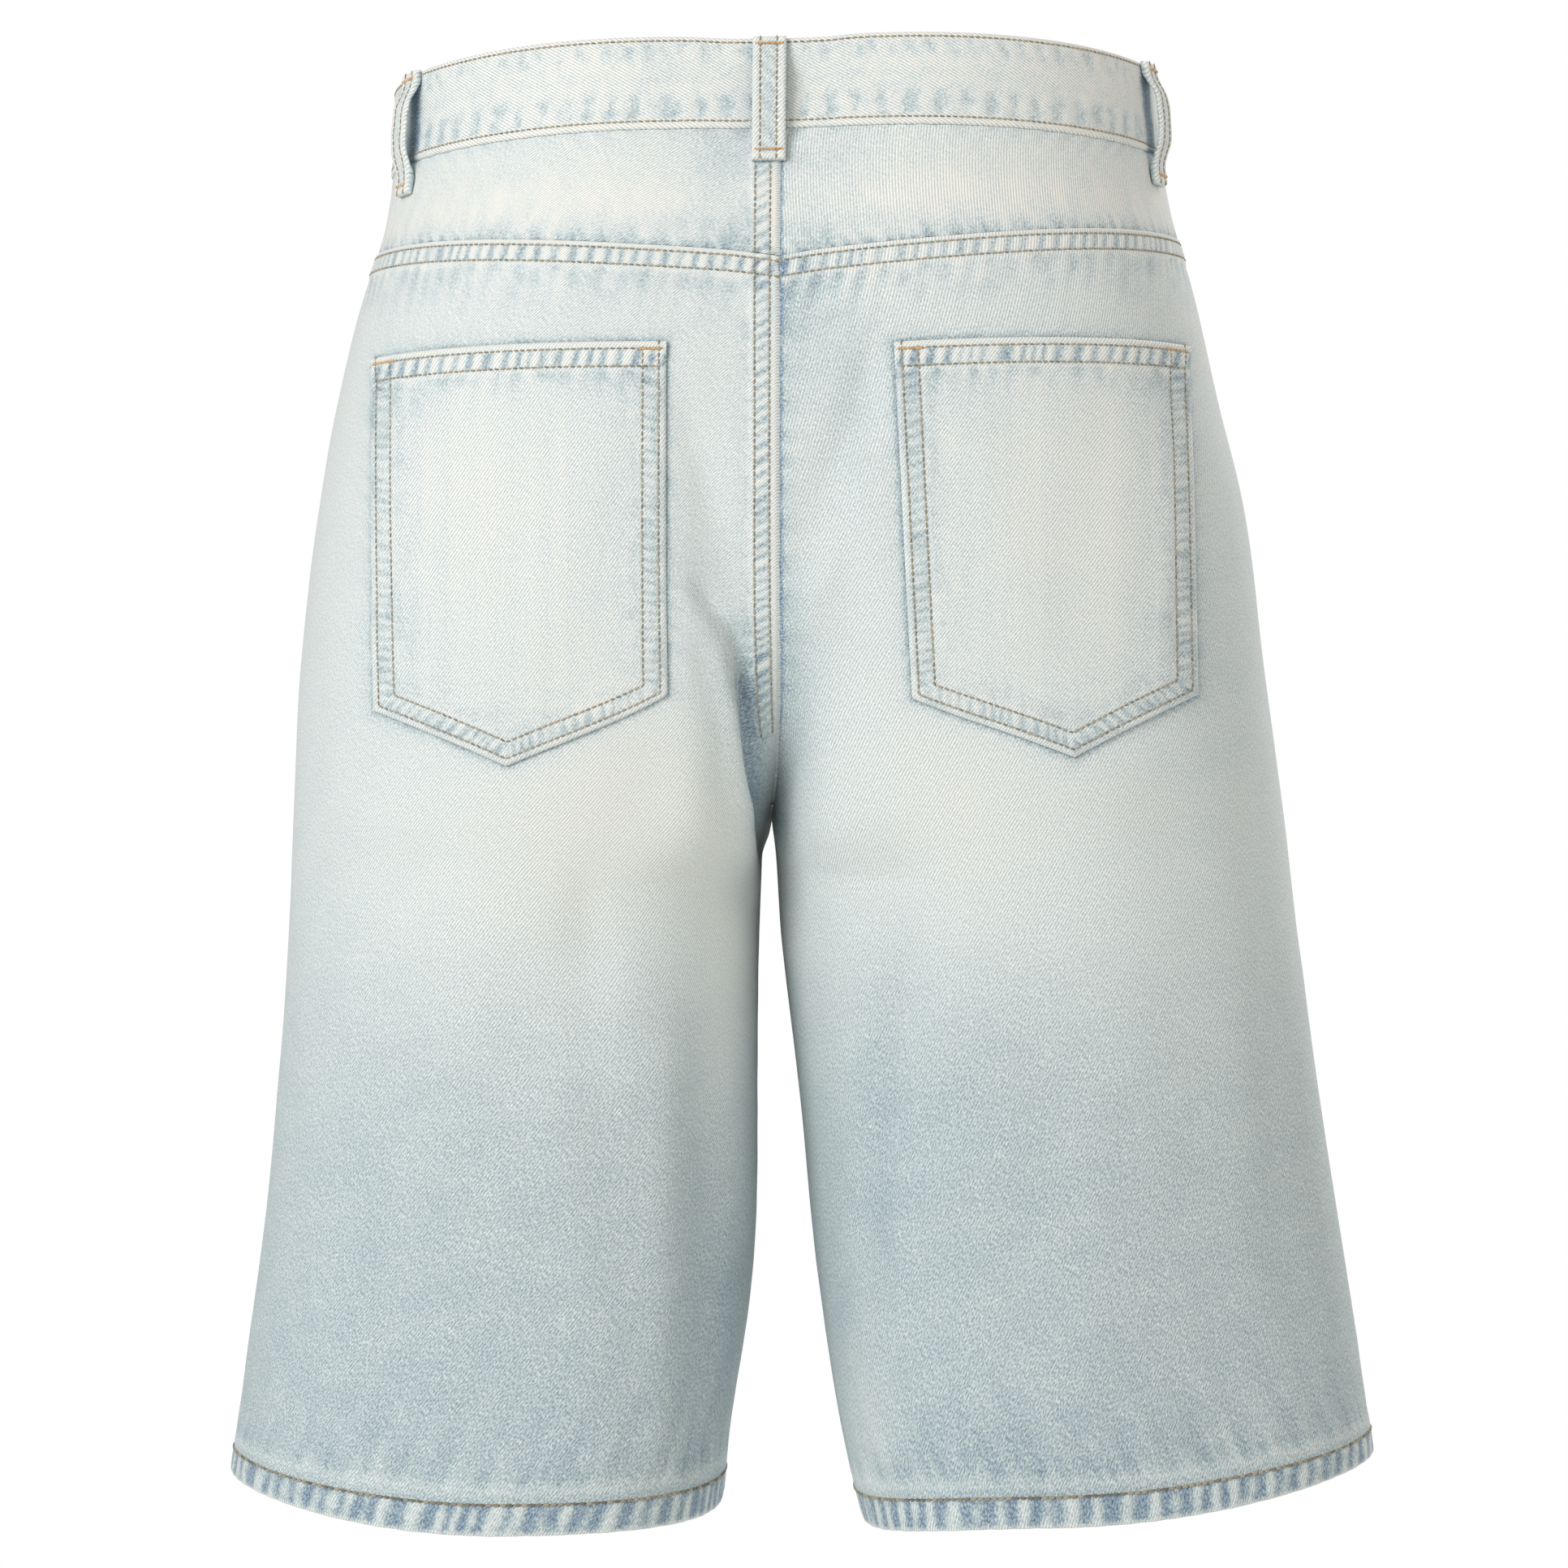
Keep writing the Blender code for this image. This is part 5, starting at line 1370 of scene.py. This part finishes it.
# The fold's section as level and lift: over the top, down the face, round the foot, up inside.
BAND_FACE = ((0.0, -0.95), (0.1, -0.45), (0.35, 0.05), (0.8, 0.48), (1.4, 0.72), (2.0, 0.72), (2.6, 0.78),
             *((d, 0.80) for d in even(3.8, 33.4, 24)), (34.4, 0.80), (35.0, 0.72), (35.6, 0.78), (36.4, 0.95),
             (37.2, 0.85), (37.7, 0.50), (38.0, -0.05))
BAND_INSIDE = ((38.0, -0.9), (37.6, -1.45), (36.6, -1.6), (34.0, -1.6), *((d, -1.6) for d in even(31, 4, 10)),
               (2.0, -1.58), (0.9, -1.50), (0.4, -1.35), (0.1, -1.15))
BAND_ROWS = (2.0, 35.0)
# Where the right end lies under the left: the way from the centre front, + to the right, and how
# much of the full sink the cloth has there.
UNDERLAP = ((-35.0, 1.0), (-24.0, 1.0), (-12.0, 1.0), (-3.0, 1.0), (6.0, 1.0), (16.0, 0.75), (28.0, 0.25),
            (38.0, 0.0), (50.0, 0.0))
UNDERLAP_SINK = BAND_THICK + SEAM_GAP + 0.05

# The belt loops: name, hand, front or back, distance from the centre plane.
LOOPS = (
    ("belt_loop_back", 1, False, 0.0),
    ("belt_loop_side_left", 1, False, 151.0),
    ("belt_loop_side_right", -1, False, 159.5),
    ("belt_loop_front_left", 1, True, 88.0),
    ("belt_loop_front_right", -1, True, 88.0),
)
LOOP_WAYS = []
for _, side, front, away in LOOPS:
    middle = np.array([BAND_RISE])
    run = run_at(side, away, middle, front)
    LOOP_WAYS += list(side * way_round(run, *both_lengths(side, middle)))


def band_relief(way, level):
    """Lift and blue of the band's face by the way round it, + to the left, and the level."""
    upper = ripple(601, 8.5)(way + 0.3 * level)
    lower = ripple(607, 11.0)(way - 0.1 * level)
    finer = mottle(609, 2.6, 3.2)(way + 0.3 * level, level)
    broad = mottle(611, 30, 30)(way, level)
    in_upper = smooth_step((level - 2.2) / 2.0) * smooth_step((13 - level) / 7)
    in_lower = smooth_step((level - 21) / 6) * smooth_step((35 - level) / 1.6)
    crease = bell(level - 18.5 - 1.5 * waver(613, 60)(way), 1.4)
    lift = 0.24 * upper * in_upper + 0.30 * lower * in_lower - 0.12 * crease + 0.2 * broad
    lift = lift - 0.24 * sum(bell(level - row, 0.6) for row in BAND_ROWS)
    blue = 0.17 + 0.24 * np.clip(0.25 - upper - 0.8 * finer, 0, 1) * in_upper
    blue = blue + 0.30 * np.clip(0.25 - 1.2 * lower - 0.6 * finer, 0, 1) * in_lower
    blue = blue + 0.06 * crease - 0.10 * finer + 0.05 * broad
    blue = blue - 0.14 * bell(level - 0.9, 0.9) - 0.14 * bell(level - 36.6, 0.8)
    # Under the loops the cloth hasn't faded; the blue there also stands in for the shade in the gap beside each loop,
    # so it is partly painted shade.
    return lift, blue + 0.75 * sum(np.exp(-((way - place) / 6.2) ** 4) for place in LOOP_WAYS) * (level > 2.5)


levels, lifts = np.array(BAND_FACE + BAND_INSIDE).T
on_face = np.arange(len(levels)) < len(BAND_FACE)
points, ways = [], []
half_way = sum(length.mean() for length in both_lengths(-1, levels))
for start, stop in zip(UNDERLAP, UNDERLAP[1:]):
    for t in np.linspace(0, 1, 6, endpoint=False):
        place, deep = np.array(start) * (1 - t) + np.array(stop) * t
        side = 1 if place < 0 else -1
        run = 1 - abs(place) / run_length(side, levels, True) / 2
        points.append(cloth(side, run, levels, lifts - UNDERLAP_SINK * deep))
        ways.append(place - half_way)
for side, shares, end in ((-1, np.linspace(1, 0, 232), UNDERLAP[-1][0]), (1, np.linspace(0, 1, 256), SEAM_GAP)):
    back, front = both_lengths(side, levels)
    stop = 1 - end / front / 2
    for share in shares:
        run = 0.004 + (stop - 0.004) * share
        way = side * way_round(run.mean(), back.mean(), front.mean())
        rise = band_relief(np.full(len(levels), way), levels)[0]
        points.append(cloth(side, run, levels, lifts + rise * on_face))
        ways.append(way)
way, level = np.meshgrid(ways, levels)
blue = np.where(on_face[:, None], np.clip(band_relief(way, level)[1], 0.03, 1), 0.18)
waistband = tube("waistband_strip", np.stack(points, 1), grain_uv(-way, -level, -30), blue, False)


def band_path(ways, levels):
    """A path on the band's face; ways run from the centre back, + to the wearer's left."""
    points, tips = np.zeros((2, len(ways), 3))
    rise = band_relief(ways, levels)[0] + np.interp(levels, *np.array(BAND_FACE).T) + 0.12
    for side in (1, -1):
        here = (ways >= 0) == (side > 0)
        way = np.abs(ways[here])
        back, front = both_lengths(side, levels[here])
        run = np.where(way < back, way / back / 2, 0.5 + (way - back) / front / 2)
        lift = rise[here]
        if side < 0:
            # The right end sinks under the left one.
            lift = lift - UNDERLAP_SINK * np.interp(back + front - way, *np.array(UNDERLAP).T)
        points[here], tips[here] = (cloth(side, run, levels[here], lift + tip) for tip in (0, 1))
    return rooted(points, tips)


def band_end(side, level, short):
    """The way to a place that stops short of the band's end, level by level."""
    return sum(both_lengths(side, np.atleast_1d(level))) - short


rows = []
for level in BAND_ROWS:
    ways = np.concatenate([np.linspace(-band_end(-1, level, 1.0)[0], -3, 236),
                           np.linspace(3, band_end(1, level, 3.0)[0], 236)])
    rows.append(band_path(ways, np.full(len(ways), level)))
levels = np.linspace(2.6, 34.4, 20)
rows.append(band_path(band_end(1, levels, 3.0), levels))
threads = sew("waistband_topstitch", rows, 15)
declare(waistband, "waistband")

# ---------------------------------------------------------------------------------------------
# Belt loops: a narrow folded strip each, two rows down it, its ends turned under and tacked in
# orange thread at the band's top edge and just under the band.
LOOP_WIDTH = 13.2
LOOP_END = 52.3
LOOP_ROWS = (-3.4, 3.4)
LOOP_TACKS = (3.2, 48.6)
TACK_REACH = 5.4
END_ROUND = 1.3
# level, lift of the underside, lift of the face
LOOP_PROFILE = (
    (0.3, 1.15, 4.0), (5.0, 1.15, 4.3), (8.5, 3.2, 5.4), (13.5, 6.4, 8.1), (19.0, 7.1, 8.8),
    (28.0, 7.1, 8.8), (34.5, 6.4, 8.1), (40.5, 3.4, 5.4), (44.0, 1.0, 4.0), (52.0, 0.5, 3.6),
)


def over_seam(side, front, run, level, lift):
    """Points of a short strip that may pass over the centre seam to the other half."""
    seam = 1.0 if front else 0.0
    over = run > 1.0 if front else run < 0.0
    own = cloth(side, np.where(over, seam, run), level, lift)
    other = cloth(-side, np.where(over, 2 * seam - run, seam), level, lift)
    return np.where(over[..., None], other, own)


half = np.array([0.2, 0.4, 0.5, 0.6, 0.72, 0.84, 0.93, 0.985, 1])
across = np.concatenate([-half[::-1], [0], half]) * LOOP_WIDTH / 2
off = np.abs(across)
levels = np.concatenate([[0.0, 0.15, 0.5, 1.0], np.linspace(1.8, 50.6, 46), [51.4, 51.9, 52.15, LOOP_END]])
down = levels[:, None]
level = np.tile(down, (1, len(across)))
ends = np.clip(np.minimum(down / 1.1, (LOOP_END - down) / 1.1), 0, 1)
for number, (name, side, front, away) in enumerate(LOOPS):
    middle = run_at(side, away, np.array([BAND_RISE]), front)
    length = run_length(side, levels, front)
    run = middle + across / length[:, None] / 2
    lap = (0.7 if away < LOOP_WIDTH else 0.0) * smooth_step((levels - 38) / 4)
    knots, under, face = np.array(LOOP_PROFILE).T
    under, face = (np.interp(levels, knots, lifts) + lap for lifts in (under, face))
    smooth = np.convolve(np.pad(face, 2, mode="edge"), np.ones(5) / 5, "valid")
    lift = smooth[:, None] - END_ROUND * (1 - np.sqrt(1 - (1 - ends) ** 2)) + 0.28 * bell(off - 5.2, 0.9) \
        - 0.25 * bell(off - 3.4, 0.6) - np.clip((off - 5.7) / 0.9, 0, 1) ** 2 \
        + 0.16 * ripple(701 + number, 13.0)(down + 0.7 * across)
    wave = ripple(721 + number, 8.0)(down + across)
    inner_part = smooth_step((3.4 - off) / 0.8)
    worn = 0.7 if away < LOOP_WIDTH or front else 0.4
    blue = 0.16 + worn * ((0.34 - 0.24 * wave) * inner_part + 0.10 * np.clip(-wave, 0, 1) * (1 - inner_part))
    blue = blue * (0.3 + 0.7 * smooth_step((np.minimum(down, LOOP_END - down) - 1.2) / 2))
    uv = grain_uv((side if front else -side) * np.tile(across, (len(levels), 1)), -level, 52)
    loop = shell(name + "_strip", over_seam(side, front, run, level, lift),
                 over_seam(side, front, run, level, under[:, None]), uv, np.clip(blue, 0.03, 1), inside=0.3)

    paths = []
    for offset in LOOP_ROWS:
        line = middle + offset / length / 2
        height = np.array([np.interp(offset, across, row) for row in lift])
        paths.append(rooted(*(over_seam(side, front, line, levels, height + more)[3:-3] for more in (0.1, 1.1))))
    threads = sew(name + "_topstitch", paths, 20 + number, pitch=2.6)
    bars = []
    for tack_level in LOOP_TACKS:
        height = np.interp(tack_level, levels, lift[:, len(half)]) + 0.25
        line = middle + np.array([-TACK_REACH, TACK_REACH]) / np.interp(tack_level, levels, length) / 2
        points, outs = rooted(*(over_seam(side, front, line, tack_level, height + more) for more in (0, 1)))
        bars.append((points[0], points[1], outs[0]))
    tack = tacks(name + "_tacks", bars, 30 + number)
    declare(loop, name)

# ---------------------------------------------------------------------------------------------
# Metal: the zip's slider and the waist button, cast and plated, keep their own shapes.
# They get the plate's finish.
for node in ("zip_slider", "waist_button"):
    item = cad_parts[node]
    item.data.materials.clear()
    item.data.materials.append(nickel)
